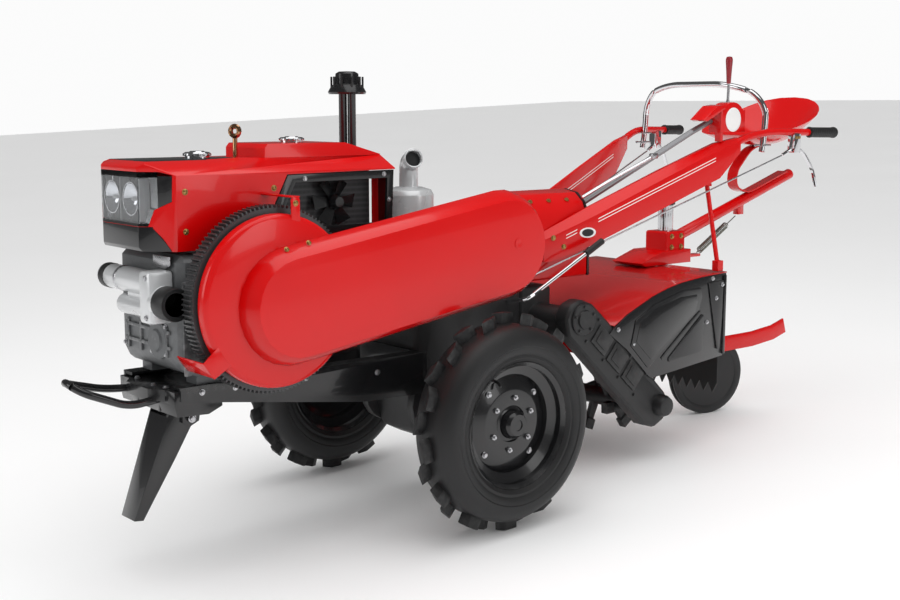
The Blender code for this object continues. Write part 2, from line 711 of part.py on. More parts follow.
finish(cap(0.0, -0.705, HOOD_TOP + GAP, 0.038, 0.018), "fuel_cap", CHROME)
finish(cap(0.0, -0.410, TANK_TOP + GAP, 0.036, 0.016), "radiator_cap", CHROME)
eye = rod((0.064, -0.600, 1.0445), (0.064, -0.600, 1.094), 0.0065, 14)
eye.data.transform(Matrix.Translation((-0.046, 0, 0.0064)))
ring = turn([(0.013 + 0.007 * math.cos(math.pi * k / 4), 0.007 * math.sin(math.pi * k / 4))
             for k in range(8)], (0.018, -0.600, 1.119), (0.5, -0.86, 0), 16)
union(eye, ring)
finish(eye, "lifting_eye", COPPER)

radiator = box(0.040, RAD_X1, -0.505, -0.215, 0.826, 1.030)
finish(radiator, "radiator", GREY)
outer_line = [(-0.532, 1.006), (-0.183, 1.010), (-0.190, 0.845), (-0.586, 0.845), (-0.586, 0.904)]
inner_line = [(-0.508, 0.985), (-0.205, 0.988), (-0.210, 0.866), (-0.552, 0.866), (-0.552, 0.902)]
screen = prism("x", outer_line, 0.158, 0.168)
cut(screen, prism("x", inner_line, 0.10, 0.20))
union(screen, box(0.1100, 0.160, -0.195, -0.187, 0.850, 1.000), box(RAD_X1 + GAP, 0.160, -0.240, -0.187,
        0.9900, 0.9990))
finish(screen, "radiator_screen", BLACK)
fan_spot = Vector((0, -0.352, 0.926))
fan = turn([(0, RAD_X1 + 0.0005), (0.012, RAD_X1 + 0.0005), (0.012, 0.1050), (0.022, 0.1050), (0.022,
        0.128), (0.014, 0.146), (0, 0.146)], (0, 0, 0), (1, 0, 0), 20)
for k in range(6):
    ang = math.pi * k / 3
    d = Vector((0, math.cos(ang), math.sin(ang)))
    w = Vector((0, -math.sin(ang), math.cos(ang)))
    blade = loft([[d * 0.015 + w * a + Vector((b, 0, 0)) for a, b in
                   ((-0.010, 0.112), (0.010, 0.120), (0.010, 0.122), (-0.010, 0.114))],
                  [d * 0.066 + w * a + Vector((b, 0, 0)) for a, b in
                   ((-0.020, 0.108), (0.020, 0.122), (0.020, 0.124), (-0.020, 0.110))]])
    union(fan, blade)
finish(fan, "cooling_fan", BLACK, fan_spot)

# ---------------- exhaust and air cleaner ----------------
pipe = tube([(EX_X, EX_Y - 0.012, 0.700), (EX_X, EX_Y - 0.012, 1.225)], 0.0125, 16)
union(pipe, tube([(EX_X + 0.022, EX_Y + 0.004, 0.760), (EX_X + 0.022, EX_Y + 0.004, 1.225)], 0.0125, 16))
union(pipe, box(EX_X - 0.022, EX_X + 0.040, EX_Y - 0.0195, EX_Y + 0.018, 0.640, 0.780))
dome = turn([(0, 0), (0.054, 0), (0.057, 0.006), (0.046, 0.026), (0.036, 0.030), (0.034, 0.060), (0.024,
        0.066),
             (0, 0.067)], (EX_X + 0.011, EX_Y - 0.004, 1.2200), (0, 0, 1), 24)
union(pipe, dome)
finish(pipe, "exhaust_pipe", BLACK)

can = turn([(0, 0.826), (0.074, 0.826), (0.076, 0.834), (0.074, 0.842), (0.074, 0.930), (0.066, 0.944),
            (0.040, 0.952), (0, 0.954)], (CAN_X, CAN_Y, 0), (0, 0, 1), 22)
neck = tube(fillet([(CAN_X, CAN_Y, 0.940), (CAN_X, CAN_Y, 1.022), (CAN_X + 0.050, CAN_Y - 0.020, 1.036)],
        0.036, 3),
            0.0280, 14)
mouth = rod((CAN_X + 0.0260, CAN_Y - 0.0104, 1.0293), (CAN_X + 0.065, CAN_Y - 0.026, 1.0405), 0.0240, 12)
cut(neck, mouth)
union(can, neck)
foot = tube(fillet([(CAN_X, CAN_Y, 0.840), (CAN_X, CAN_Y, 0.700), (CAN_X, -0.1494, 0.700)], 0.05, 3),
        0.024, 12)
union(can, foot)
cut(can, box(-0.2, 0.2, -0.30, -0.1496, 0.5, 0.8))
finish(can, "air_cleaner", SILVER)

# ---------------- handlebars ----------------
def beam_x(y):
    return BEAM_X0 + BEAM_SPLAY * (y - BEAM_Y0)


def beam_section(y, top, bottom, thick, crown):
    outer = beam_x(y)
    inner = outer - thick
    return [(inner, y, bottom), (outer, y, bottom), (outer, y, top - crown),
            (outer - min(crown * 1.2, thick - 0.003), y, top),
            (inner, y, top)]


beam = loft([beam_section(0.4380, 0.790, 0.700, 0.0175, 0.020), beam_section(0.462, 0.799, 0.698, 0.022,
        0.022),
             beam_section(0.622, 0.862, 0.745, 0.040, 0.026), beam_section(0.900, 0.974, 0.853, 0.042,
                     0.024),
             beam_section(1.130, 1.062, 0.945, 0.040, 0.020), beam_section(1.215, 1.080, 1.030, 0.030,
                     0.012)])
grip_start = 1.515
bar = tube(fillet([(beam_x(1.150) - 0.019, 1.150, 1.030), (beam_x(1.240) - 0.014, 1.240, 1.078),
                   (beam_x(1.330), 1.330, 1.098), (beam_x(grip_start), grip_start, 1.095)], 0.06, 4),
                           TUBE_R, 14)
union(beam, bar)
finish(beam, "handlebar_left", RED)
finish(mirrored(beam), "handlebar_right", RED)
end_dir = (Vector((beam_x(grip_start) - beam_x(1.330), grip_start - 1.330, -0.003))).normalized()
grip_base = Vector((beam_x(grip_start), grip_start, 1.095)) + end_dir * 0.0006
grip = turn([(0, 0), (0.017, 0), (0.019, 0.004), (0.0175, 0.010), (0.0175, 0.105), (0.0195, 0.112),
             (0.0195, 0.120), (0.014, 0.126), (0, 0.126)], grip_base, end_dir, 20)
finish(grip, "grip_left", RUBBER)
finish(mirrored(grip), "grip_right", RUBBER)

# bracket drum that ties both handlebars to the gearbox
drum_side = [(DRUM_HALF, 0.640), (DRUM_HALF, 0.780), (DRUM_HALF - 0.004, 0.838), (DRUM_HALF - 0.022, 0.880),
             (DRUM_HALF - 0.056, 0.908)]
drum_line = drum_side + [(0.0, 0.918)] + [(-x, z) for x, z in reversed(drum_side)]
drum = prism("y", drum_line, GBOX_REAR + GAP, 0.652)
soften(drum, 0.006, 1, 40)
finish(drum, "handlebar_bracket", RED)

# chrome hoop between the handlebars
hoop_path = fillet([(HOOP_X, HOOP_Y - 0.012, 1.030), (HOOP_X, HOOP_Y + 0.004, 1.100), (HOOP_X,
        HOOP_Y + 0.004, 1.215),
                    (0.150, HOOP_Y - 0.040, 1.262), (-0.150, HOOP_Y - 0.040, 1.262),
                    (-HOOP_X, HOOP_Y + 0.004, 1.215), (-HOOP_X, HOOP_Y + 0.004, 1.100),
                    (-HOOP_X, HOOP_Y - 0.012, 1.030)], 0.085, 4)
hoop = sweep(hoop_path, circle(0.0105, 8), (0, 1, 0))
finish(hoop, "handle_hoop", CHROME)

# ---------------- tiller ----------------
till_box = box(-0.105, 0.105, GBOX_REAR + GAP, 0.4965, 0.305, 0.622)
soften(till_box, 0.010, 1, 30)
union(till_box, rod((TILL_X0 + 0.001, 0.440, 0.520), (CASE_X0 - GAP, 0.440, 0.520), 0.050, 24))
finish(till_box, "tiller_gearbox", CAST)

case_line = [(0.385, 0.490), (0.372, 0.545), (0.395, 0.585), (0.440, 0.600), (0.490, 0.580), (0.560, 0.520),
             (0.840, 0.250), (0.850, 0.205), (0.830, 0.165), (0.785, 0.145), (0.735, 0.160)]
chain_case = prism("x", case_line, CASE_X0, CASE_X1)
soften(chain_case, 0.008, 1, 30)
rotor_spot = Vector((0, ROTOR_Y, ROTOR_Z))
shaft = rod((TILL_X0, 0, 0), (CASE_X0 - 0.0005, 0, 0), 0.018, 12)
rotor = rod((TILL_X0 + 0.0160, 0, 0), (CASE_X0 - 0.006, 0, 0), 0.030, 20)
for k in range(7):
    x = TILL_X0 + 0.050 + k * 0.075
    ang = math.radians(57 * k + 20)
    d = Vector((0, math.cos(ang), math.sin(ang)))
    w = Vector((0, -math.sin(ang), math.cos(ang)))
    for s in (1, -1):
        holder = loft([[Vector((x + a, 0, 0)) + d * s * 0.010 + w * b for a, b in
                        ((-0.008, -0.016), (0.008, -0.016), (0.008, 0.016), (-0.008, 0.016))],
                       [Vector((x + a, 0, 0)) + d * s * 0.080 + w * b for a, b in
                        ((-0.008, -0.012), (0.008, -0.012), (0.008, 0.012), (-0.008, 0.012))],
                       [Vector((x + a, 0, 0)) + d * s * 0.084 + w * b for a, b in
                        ((-0.013, -0.018), (0.013, -0.018), (0.013, 0.018), (-0.013, 0.018))],
                       [Vector((x + a, 0, 0)) + d * s * 0.118 + w * b for a, b in
                        ((-0.013, -0.018), (0.013, -0.018), (0.013, 0.018), (-0.013, 0.018))]])
        union(rotor, holder)
union(rotor, shaft)
finish(rotor, "rotor", CAST, rotor_spot)
hub_cap = turn([(0, CASE_X1 - 0.010), (0.036, CASE_X1 - 0.010), (0.036, CASE_X1 + 0.020), (0.030,
        CASE_X1 + 0.034),
                (0, CASE_X1 + 0.034)], (0, ROTOR_Y + 0.024, ROTOR_Z + 0.006), (1, 0, 0), 24)
union(chain_case, hub_cap)
finish(chain_case, "chain_case", CAST)

top_line = [(0.498, 0.415), (0.548, 0.477), (0.585, 0.505), (0.640, 0.537), (0.755, 0.583), (0.830, 0.604),
            (0.900, 0.617), (1.000, 0.627), (1.060, 0.630), (1.132, 0.632)]
under = [(y + 0.0008, z - SHEET) for y, z in top_line]
under[0] = (top_line[0][0] + 0.0023, top_line[0][1] - 0.0019)
under[1] = (top_line[1][0] + 0.0019, top_line[1][1] - 0.0025)
tiller_hood = prism("x", top_line + list(reversed(under)), TILL_X0, TILL_X1)
cut(tiller_hood, prism("x", shift_outline(case_line, -0.004), CASE_X0 - 0.003, TILL_X1 + 0.02))
finish(tiller_hood, "tiller_hood", RED)

shield_line = [(0.556, 0.4795), (0.585, 0.5005), (0.640, 0.5325), (0.755, 0.5790), (0.830, 0.6000),
               (0.900, 0.6130), (1.000, 0.6235), (1.060, 0.6265), (1.126, 0.6285), (1.116, 0.345),
               (0.760, 0.312), (0.745, 0.320), (0.640, 0.420)]
shield = prism("x", shield_line, TILL_X1 + GAP, TILL_X1 + GAP + SHEET)
finish(shield, "tiller_shield_left", BLACK)
far_line = [(0.505, 0.4100)] + shield_line[:-3] + [(0.700, 0.300), (0.520, 0.360)]
far = prism("x", far_line, TILL_X0 - GAP - SHEET, TILL_X0 - GAP)
bearing = turn([(0, -0.016), (0.044, -0.016), (0.044, 0.0075), (0, 0.0075)], (TILL_X0 - 0.0115, ROTOR_Y,
        ROTOR_Z),
               (1, 0, 0), 24)
arm = prism("x", [(0.385, 0.500), (0.440, 0.585), (0.490, 0.565), (ROTOR_Y + 0.045, 0.240),
                  (ROTOR_Y + 0.040, 0.170), (ROTOR_Y - 0.035, 0.165)], TILL_X0 - 0.020, TILL_X0 - GAP)
soften(arm, 0.006, 1, 30)
union(far, bearing, arm)
finish(far, "tiller_shield_right", BLACK)

# toothed rubber curtain behind the rotor
teeth = [(TILL_X0 + 0.004, 0.600)]
teeth.append((TILL_X0 + 0.004, 0.250))
wide = (TILL_X1 - TILL_X0 - 0.008) / 16
for k in range(16):
    teeth.append((TILL_X0 + 0.004 + wide * (k + 0.5), 0.215))
    if k < 15:
        teeth.append((TILL_X0 + 0.004 + wide * (k + 1), 0.250))
teeth.append((TILL_X1 - 0.004, 0.250))
teeth.append((TILL_X1 - 0.004, 0.600))
curtain = prism("y", teeth, 1.100, 1.105)
union(curtain, box(TILL_X0 + 0.004, TILL_X1 - 0.004, 1.100, 1.125, 0.598, 0.6265))
finish(curtain, "rear_curtain", RUBBER)

# ---------------- tail column, clamp, arm and wheel ----------------
clamp = box(COL_X - 0.052, COL_X + 0.052, COL_Y - 0.050, COL_Y + 0.050, 0.672, 0.745)
soften(clamp, 0.006, 1, 30)
shelf = prism("x", [(1.010, 0.6326), (1.128, 0.6326), (1.250, 0.6326), (1.250, 0.680), (1.100, 0.680),
                    (0.990, 0.645)], COL_X - 0.070, COL_X + 0.070)
union(clamp, shelf)
cut(clamp, rod((COL_X, COL_Y, 0.50), (COL_X, COL_Y, 0.90), COL_R + GAP, 32))
finish(clamp, "column_clamp", RED)
column = rod((COL_X, COL_Y, STEER_Z), (COL_X, COL_Y, 0.835), COL_R, 28)
union(column, turn([(0, 0.834), (0.020, 0.834), (0.020, 0.850), (0.034, 0.852), (0.034, 0.864), (0, 0.866)],
                   (COL_X, COL_Y, 0), (0, 0, 1), 20))
finish(column, "tail_column", CHROME)

steer_spot = Vector((COL_X, COL_Y, STEER_Z))
swing = math.radians(TAIL_YAW)
back = Vector((math.sin(swing), math.cos(swing), 0))
out = Vector((math.cos(swing), -math.sin(swing), 0))
drop = TAIL_Z - STEER_Z
hub_at = back * TAIL_BACK + Vector((0, 0, drop))
plate_in = TAIL_W / 2 + 0.012
plate_out = plate_in + 0.006
fork = loft([[back * d + out * (s * plate_out) + Vector((0, 0, z)) for s, z in
              ((-1, -0.034), (1, -0.034), (1, -0.004), (-1, -0.004))] for d in (-0.032, TAIL_BACK + 0.005)])
for s in (1, -1):
    line = [(0.060, -0.010), (TAIL_BACK + 0.0045, -0.010), (TAIL_BACK + 0.028, drop + 0.010),
            (TAIL_BACK + 0.020, drop - 0.022), (TAIL_BACK - 0.020, drop - 0.022), (0.060, -0.060)]
    union(fork, loft([[back * d + Vector((0, 0, z)) + out * s * w for d, z in line]
                      for w in (plate_in, plate_out - 0.0002)]))
union(fork, turn([(0, -0.006), (0.034, -0.006), (0.034, -0.0005), (0, -0.0005)], (0, 0, 0), (0, 0, 1), 24))
union(fork, rod(hub_at + out * (-plate_out - 0.010), hub_at + out * (plate_out + 0.010), 0.007, 12))
tail_spot = steer_spot + hub_at
half = TAIL_W / 2
tail_wheel = turn([(0.0078, -half - 0.004), (0.026, -half - 0.004), (0.026, -half + 0.006), (0.120,
        -half + 0.006),
                   (0.126, -half), (TAIL_R - 0.008, -half), (TAIL_R, -half + 0.008), (TAIL_R, half - 0.008),
                   (TAIL_R - 0.008, half), (0.126, half), (0.120, half - 0.006), (0.026, half - 0.006),
                   (0.026, half + 0.004), (0.0078, half + 0.004)], (0, 0, 0), (1, 0, 0), 22)
tail_wheel.data.transform(Matrix.Rotation(-swing, 4, "Z"))
finish(tail_wheel, "tail_wheel", CAST, tail_spot)


def plate_along(points, thick, tall, upright):
    return sweep(points, [(-thick / 2, -tall / 2), (thick / 2, -tall / 2), (thick / 2, tall / 2),
                          (-thick / 2, tall / 2)], upright)


pedal_at = back * 0.110 + out * (plate_out + 0.0010)
pedal = plate_along([pedal_at + Vector((0, 0, -0.075)), pedal_at + back * 0.110 + Vector((0, 0, -0.080)),
                     Vector((0.120, 0.360, -0.074)), Vector((0.130, 0.470, -0.060)), Vector((0.132, 0.540,
                             -0.040))],
                    0.006, 0.056, (0, 0, 1))
union(fork, pedal)
finish(fork, "tail_fork", RED, steer_spot)

# ---------------- ride-on pan and its post ----------------


def post_z(y):
    return POST_Z0 + POST_SLOPE * (y - POST_Y0)


post = rod((POST_X, POST_Y0 - 0.05, post_z(POST_Y0 - 0.05)), (POST_X, 1.910, post_z(1.910)), POST_R, 20)
cut(post, box(-0.3, 0.3, 1.0, POST_Y0 + GAP, 0.5, 1.0))
union(post, box(POST_X - 0.012, POST_X + 0.012, 1.586, 1.618, post_z(1.600) - 0.046, post_z(1.600) - 0.010))
spring_hold = box(COL_X - 0.014, COL_X + 0.014, 1.245, 1.372, 0.640, 0.650)
union(bpy.data.objects["column_clamp"], spring_hold)
wire_low = Vector((COL_X, 1.366, 0.6502 + GAP))
wire_top = Vector((COL_X, 1.5862, 0.777))
axis = (wire_top - wire_low).normalized()
coil = rod(wire_low + axis * 0.006, wire_low + axis * 0.205, 0.0130, 14)
union(coil, rod(wire_low + Vector((0, 0, 0.001)), wire_low + axis * 0.020 + Vector((0, 0, 0.002)), 0.003, 8))
union(coil, rod(wire_low + axis * 0.190, wire_top + Vector((0, -0.0012, 0)), 0.0020, 8))
cut(coil, box(-0.2, 0.2, 1.30, 1.45, 0.60, 0.6502 + GAP))
finish(coil, "return_spring", SPRING)

lift = POST_R + 0.002
tilt = math.atan(POST_SLOPE)
on_post = [(y - lift * math.sin(tilt), post_z(y) + lift * math.cos(tilt)) for y in (1.875, 1.640)]
leaf_path = [on_post[0], on_post[1], (1.560, 0.885), (1.560, 0.945), (1.640, 1.0212), (1.690, 1.0386),
             (1.760, 1.0386)]
leaf_pts = fillet([(POST_X, y, z) for y, z in leaf_path], 0.035, 4)
leaf = sweep(leaf_pts, [(-0.022, -0.003), (0.022, -0.003), (0.022, 0.003), (-0.022, 0.003)])
union(post, leaf)
finish(post, "pan_post", RED)


def pan_height(share, ang):
    back_part = 0.5 + 0.5 * math.sin(ang)
    rim = 0.040 + 0.140 * back_part ** 1.6
    return 1.0435 + rim * share ** 2.3


pan_rings = 5
pan_steps = 24
top_pts = []
for r in range(1, pan_rings + 1):
    share = r / pan_rings
    for k in range(pan_steps):
        ang = 2 * math.pi * k / pan_steps
        c = math.cos(ang)
        s = math.sin(ang)
        x = 0.215 * share * math.copysign(abs(c) ** 0.86, c)
        y = 0.195 * share * math.copysign(abs(s) ** 0.86, s)
        top_pts.append((x + POST_X * 0.4, SEAT_Y + y, pan_height(share, ang)))
verts = [(POST_X * 0.4, SEAT_Y, 1.0435)] + top_pts
count = len(verts)
thick = 0.0035
verts = verts + [(x, y, z - thick) for x, y, z in verts]
faces = []
for k in range(pan_steps):
    m = (k + 1) % pan_steps
    faces.append([0, 1 + k, 1 + m])
    faces.append([count, count + 1 + m, count + 1 + k])
    for r in range(pan_rings - 1):
        a = 1 + r * pan_steps
        b = a + pan_steps
        faces.append([a + k, b + k, b + m, a + m])
        faces.append([count + a + k, count + a + m, count + b + m, count + b + k])
    a = 1 + (pan_rings - 1) * pan_steps
    faces.append([a + k, count + a + k, count + a + m, a + m])
riding_pan = solid(verts, faces)
finish(riding_pan, "riding_pan", RED)

# ---------------- controls ----------------
console = box(0.200, 0.252, 1.135, 1.262, 1.098, 1.172)
union(console, rod((0.200, 1.1985, 1.135), (0.252, 1.1985, 1.135), 0.0635, 28))
cut(console, box(0.1, 0.4, 1.0, 1.4, 1.0, 1.098))
union(console, prism("x", [(1.046, 1.140), (1.060, 1.135), (1.150, 1.176), (1.150, 1.190), (1.110, 1.186)],
                     0.192, 0.256))
union(console, box(0.225, 0.249, 1.137, 1.150, 1.0670, 1.105))
finish(console, "shift_console", RED)
lever = rod((0.226, 1.1985, 1.1985 + GAP), (0.226, 1.2010, 1.2655), 0.0045, 12)
knob = turn([(0, 0.2600), (0.0070, 0.2600), (0.0120, 0.335), (0.0110, 0.348), (0, 0.352)], (0.226, 1.201,
        1.0),
            (0, 0, 1), 18)
union(lever, knob)
finish(lever, "shift_lever", STEEL_MAT)
shift_tube = tube([(0.070, 0.6528, 0.868), (0.196, 1.052, 1.100), (0.208, 1.134, 1.136)], 0.010, 14)
cut(shift_tube, box(-0.1, 0.3, 1.1346, 1.3, 1.0, 1.3))
cut(shift_tube, box(-0.1, 0.3, 0.5, 0.6524, 0.8, 0.95))
cutter = prism("x", [(1.040, 1.1395), (1.060, 1.1345), (1.152, 1.1755), (1.152, 1.20), (1.040, 1.20)],
        0.15, 0.30)
cut(shift_tube, cutter)
finish(shift_tube, "shift_tube", STEEL_MAT)

piv_x = beam_x(PIV_Y)
clip = box(piv_x - 0.014, piv_x + 0.014, PIV_Y - 0.018, PIV_Y + 0.018, 1.026, 1.092)
cut(clip, rod((beam_x(1.33), 1.33, 1.098), (beam_x(grip_start), grip_start, 1.095), TUBE_R + GAP, 20))
blade_path = fillet([(piv_x - 0.010, PIV_Y - 0.052, 1.018), (piv_x, PIV_Y, 1.046), (piv_x + 0.006,
        PIV_Y + 0.040, 1.030),
                     (piv_x + 0.016, PIV_Y + 0.085, 0.970), (piv_x + 0.020, PIV_Y + 0.105, 0.905)], 0.030, 4)
union(clip, sweep(blade_path, [(-0.006, -0.003), (0.006, -0.003), (0.006, 0.003), (-0.006, 0.003)], (0, 0,
        1)))
finish(clip, "squeeze_lever_left", CHROME)
finish(mirrored(clip), "squeeze_lever_right", CHROME)
rod_end = (piv_x - 0.0100, PIV_Y - 0.0560, 1.0160)
link = tube([(DRUM_HALF + 0.0035, 0.410, 0.660), rod_end], 0.003, 8)
finish(link, "steer_rod_left", STEEL_MAT)
finish(mirrored(link), "steer_rod_right", STEEL_MAT)

pto = tube(fillet([(GBOX_HALF + GAP, 0.300, 0.588), (0.200, 0.300, 0.602), (0.200, 0.560, 0.7290)], 0.03, 4),
           0.0065, 12)
pto_dir = Vector((0, 0.260, 0.127)).normalized()
sleeve = rod(Vector((0.200, 0.560, 0.7290)) - pto_dir * 0.010, Vector((0.200, 0.560,
        0.7290)) + pto_dir * 0.072,
             0.0100, 16)
union(pto, sleeve)
cut(pto, box(GBOX_HALF - 0.05, GBOX_HALF + GAP, 0.25, 0.35, 0.55, 0.65))
finish(pto, "pto_lever", CHROME)

strut = rod((0.227, 1.100, 0.9230), (0.268, 1.118, 0.650), 0.0080, 12)
union(strut, box(0.216, 0.239, 1.088, 1.112, 0.918, 0.9277))
union(strut, box(0.256, 0.282, 1.103, 1.131, 0.6328, 0.668))
finish(strut, "rear_strut", RED)

# ---------------- set the machine down on its two wheels and its tail wheel ----------------
def ground_lean():
    # the angle about the axle that brings the tail wheel down to the floor
    y = COL_Y + back.y * TAIL_BACK
    z = TAIL_Z - AXLE_Z
    return math.asin((TAIL_R - AXLE_Z) / math.hypot(y, z)) - math.atan2(z, y)


angle = ground_lean()
turn_matrix = Matrix.Rotation(angle, 3, "X")
pivot = Vector((0, 0, AXLE_Z))
moved = pivot - turn_matrix @ pivot
LEAN.rotation_euler = (angle, 0, 0)
LEAN.location = moved
bpy.context.view_layer.update()
low_y = 1e9
high_y = -1e9
low_x = 1e9
high_x = -1e9
for item in bpy.data.objects:
    if item.type != "MESH":
        continue
    for v in item.data.vertices:
        p = item.matrix_world @ v.co
        low_y = min(low_y, p.y)
        high_y = max(high_y, p.y)
        low_x = min(low_x, p.x)
        high_x = max(high_x, p.x)
LEAN.location = moved - Vector(((low_x + high_x) / 2, (low_y + high_y) / 2, 0))
bpy.context.view_layer.update()
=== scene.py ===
import json
import math
import bpy
import bmesh
from mathutils import Matrix, Vector


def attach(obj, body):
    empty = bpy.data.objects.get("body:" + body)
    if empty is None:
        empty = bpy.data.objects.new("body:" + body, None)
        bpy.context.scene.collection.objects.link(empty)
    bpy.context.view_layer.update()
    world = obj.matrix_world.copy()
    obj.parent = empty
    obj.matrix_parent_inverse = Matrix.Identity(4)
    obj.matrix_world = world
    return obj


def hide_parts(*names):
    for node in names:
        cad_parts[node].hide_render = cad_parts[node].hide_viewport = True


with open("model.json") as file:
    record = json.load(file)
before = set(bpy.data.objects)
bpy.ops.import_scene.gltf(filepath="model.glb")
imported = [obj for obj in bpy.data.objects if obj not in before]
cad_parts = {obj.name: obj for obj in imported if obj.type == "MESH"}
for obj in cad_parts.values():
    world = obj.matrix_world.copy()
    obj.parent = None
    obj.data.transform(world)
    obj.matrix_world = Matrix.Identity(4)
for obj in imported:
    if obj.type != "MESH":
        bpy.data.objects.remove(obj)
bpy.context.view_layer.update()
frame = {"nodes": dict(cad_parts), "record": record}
NODES = frame["nodes"]
BODY_OF = {}
for body_name, members in frame["record"]["behaviour"]["bodies"].items():
    for member in members:
        BODY_OF[member] = body_name
SLOT_OF = {}
for sub in frame["record"]["subparts"]:
    SLOT_OF[sub["node"]] = sub["material_slot"]

# Everything below is measured with the rails level and the axle over Y = 0, and SET_DOWN turns it
# nose-up on the tail wheel, as the machine parks.
LEAN = math.atan2(0.044701, 0.999)
SET_DOWN = Matrix.Translation((0, -0.439086, 0.00031)) @ Matrix.Rotation(-LEAN, 4, "X")

TRACK = 0.860
AXLE_Z = 0.310
LUGS = 13
CRANK_Y = -0.645
CRANK_Z = 0.697
TEETH = 118
PAN_R = 0.222
PAN_Y = CRANK_Y - 0.004
PULLEY_X0 = 0.3155
PULLEY_X1 = 0.3570
STARTER_Y = -0.896
STARTER_Z = 0.742
NOSE_Z = 0.700
ENGINE_FRONT = -0.8640
SHIELD_X = 0.2979
CASE_X = 0.2965
CASE_TOP = (0.445, 0.535)
CASE_FOOT = (0.800, 0.215)
SPROCKET_Y = 0.445
SPROCKET_Z = 0.538
COLUMN_X = -0.030
COLUMN_Y = 1.190
TAIL_YAW = math.radians(17.0)
TAIL_BACK = 0.185
HOOP_X = 0.2738
GRIP_Y = 1.515
BEAM_HOLE = (0.601, 0.7855)

LEFT_OUT = (1, 0, 0)
RIGHT_OUT = (-1, 0, 0)
FORWARD = (0, -1, 0)
BACKWARD = (0, 1, 0)
TOP = (0, 0, 1)
BOTH_SIDES = (("left", 1), ("right", -1))
FULL = 2 * math.pi
MIRROR = Matrix.Scale(-1, 4, (1, 0, 0))


# ---------------- modelling helpers ----------------
def pick(item):
    """Selects this one object and nothing else, or nothing at all."""
    for other in list(bpy.context.selected_objects):
        other.select_set(False)
    if item:
        item.select_set(True)
        bpy.context.view_layer.objects.active = item


def edit(item):
    pick(item)
    bpy.ops.object.mode_set(mode="EDIT")
    bpy.ops.mesh.select_mode(type="VERT")
    bpy.ops.mesh.select_all(action="SELECT")


def leave():
    bpy.ops.object.mode_set(mode="OBJECT")


def pick_faces(item, wanted):
    """In edit mode, selects the faces that wanted() says yes to."""
    bpy.ops.mesh.select_all(action="DESELECT")
    shape = bmesh.from_edit_mesh(item.data)
    for face in shape.faces:
        if wanted(face):
            face.select = True
    bmesh.update_edit_mesh(item.data)


def keep_faces(item, wanted):
    """In edit mode, selects by wanted() and lets the corners of every other face go."""
    bpy.ops.mesh.select_all(action="DESELECT")
    shape = bmesh.from_edit_mesh(item.data)
    for face in shape.faces:
        face.select = wanted(face)
    bmesh.update_edit_mesh(item.data)


def tidy(item):
    """Merges doubled corners and turns every face outward."""
    edit(item)
    bpy.ops.mesh.remove_doubles(threshold=0.00002)
    bpy.ops.mesh.normals_make_consistent(inside=False)
    leave()


def chain(points):
    """One vertex drawn out into a line through the points."""
    pick(None)
    bpy.ops.mesh.primitive_plane_add(size=0.01, location=(0, 0, 0))
    item = bpy.context.object
    edit(item)
    bpy.ops.mesh.merge(type="CENTER")
    bpy.ops.transform.translate(value=Vector(points[0]))
    for a, b in zip(points, points[1:]):
        step = Vector(b) - Vector(a)
        bpy.ops.mesh.extrude_vertices_move(TRANSFORM_OT_translate={"value": step})
    leave()
    return item


def turned(profile, steps):
    """A line of (distance out, place along X) spun about the X axis; off the axis its ends join."""
    points = [(x, 0, r) for r, x in profile]
    if profile[0][0] > 0:
        points.append(points[0])
    item = chain(points)
    edit(item)
    bpy.ops.mesh.spin(steps=steps, angle=FULL, center=(0, 0, 0), axis=(1, 0, 0))
    leave()
    tidy(item)
    return item


def bevel(item, width, segs, angle):
    pick(item)
    mod = item.modifiers.new("rounded", "BEVEL")
    mod.width = width
    mod.segments = segs
    mod.limit_method = "ANGLE"
    mod.angle_limit = math.radians(angle)
    bpy.ops.object.modifier_apply(modifier=mod.name)


def sheet(outline, push, edge, segs=2):
    """A flat outline filled, pushed out by the vector push, its edges rounded."""
    item = chain(outline)
    edit(item)
    bpy.ops.mesh.edge_face_add()
    bpy.ops.mesh.extrude_region_move(TRANSFORM_OT_translate={"value": Vector(push)})
    leave()
    tidy(item)
    bevel(item, edge, segs, 25)
    return item


def side_sheet(x, outline, thick, edge, segs=2):
    """A sheet standing at x, its outline given as (along, up)."""
    return sheet([(x, y, z) for y, z in outline], (thick, 0, 0), edge, segs)


def plain_block(centre, size):
    pick(None)
    bpy.ops.mesh.primitive_cube_add(size=1, location=centre, scale=size)
    item = bpy.context.object
    bpy.ops.object.transform_apply(location=True, rotation=True, scale=True)
    return item


def block(centre, size, edge):
    item = plain_block(centre, size)
    bevel(item, edge, 2, 30)
    return item


def tubing(points, radius, sides=16, corner=0.0, turns=5):
    """A round tube or wire along the points, its corners bent to the size of corner."""
    item = chain(points)
    if corner:
        edit(item)
        bpy.ops.mesh.bevel(offset=corner, segments=turns, affect="VERTICES")
        leave()
    pick(item)
    bpy.ops.object.convert(target="CURVE")
    line = bpy.context.object
    line.data.bevel_depth = radius
    line.data.bevel_resolution = sides // 4 - 1
    line.data.use_fill_caps = True
    bpy.ops.object.convert(target="MESH")
    item = bpy.context.object
    tidy(item)
    return item


def aim(place, axis):
    """The matrix that carries +X to axis and the origin to place."""
    x = Vector(axis).normalized()
    up = Vector(TOP) if abs(x.z) < 0.9 else Vector((0, 1, 0))
    y = up.cross(x).normalized()
    z = x.cross(y)
    turn = Matrix((x, y, z)).transposed().to_4x4()
    return Matrix.Translation(Vector(place)) @ turn


def about_x(angle):
    return Matrix.Rotation(angle, 4, "X")


def twin(item, matrix):
    """A second object whose own mesh is carried by a matrix."""
    other = item.copy()
    other.data = item.data.copy()
    bpy.context.scene.collection.objects.link(other)
    other.data.transform(matrix)
    return other


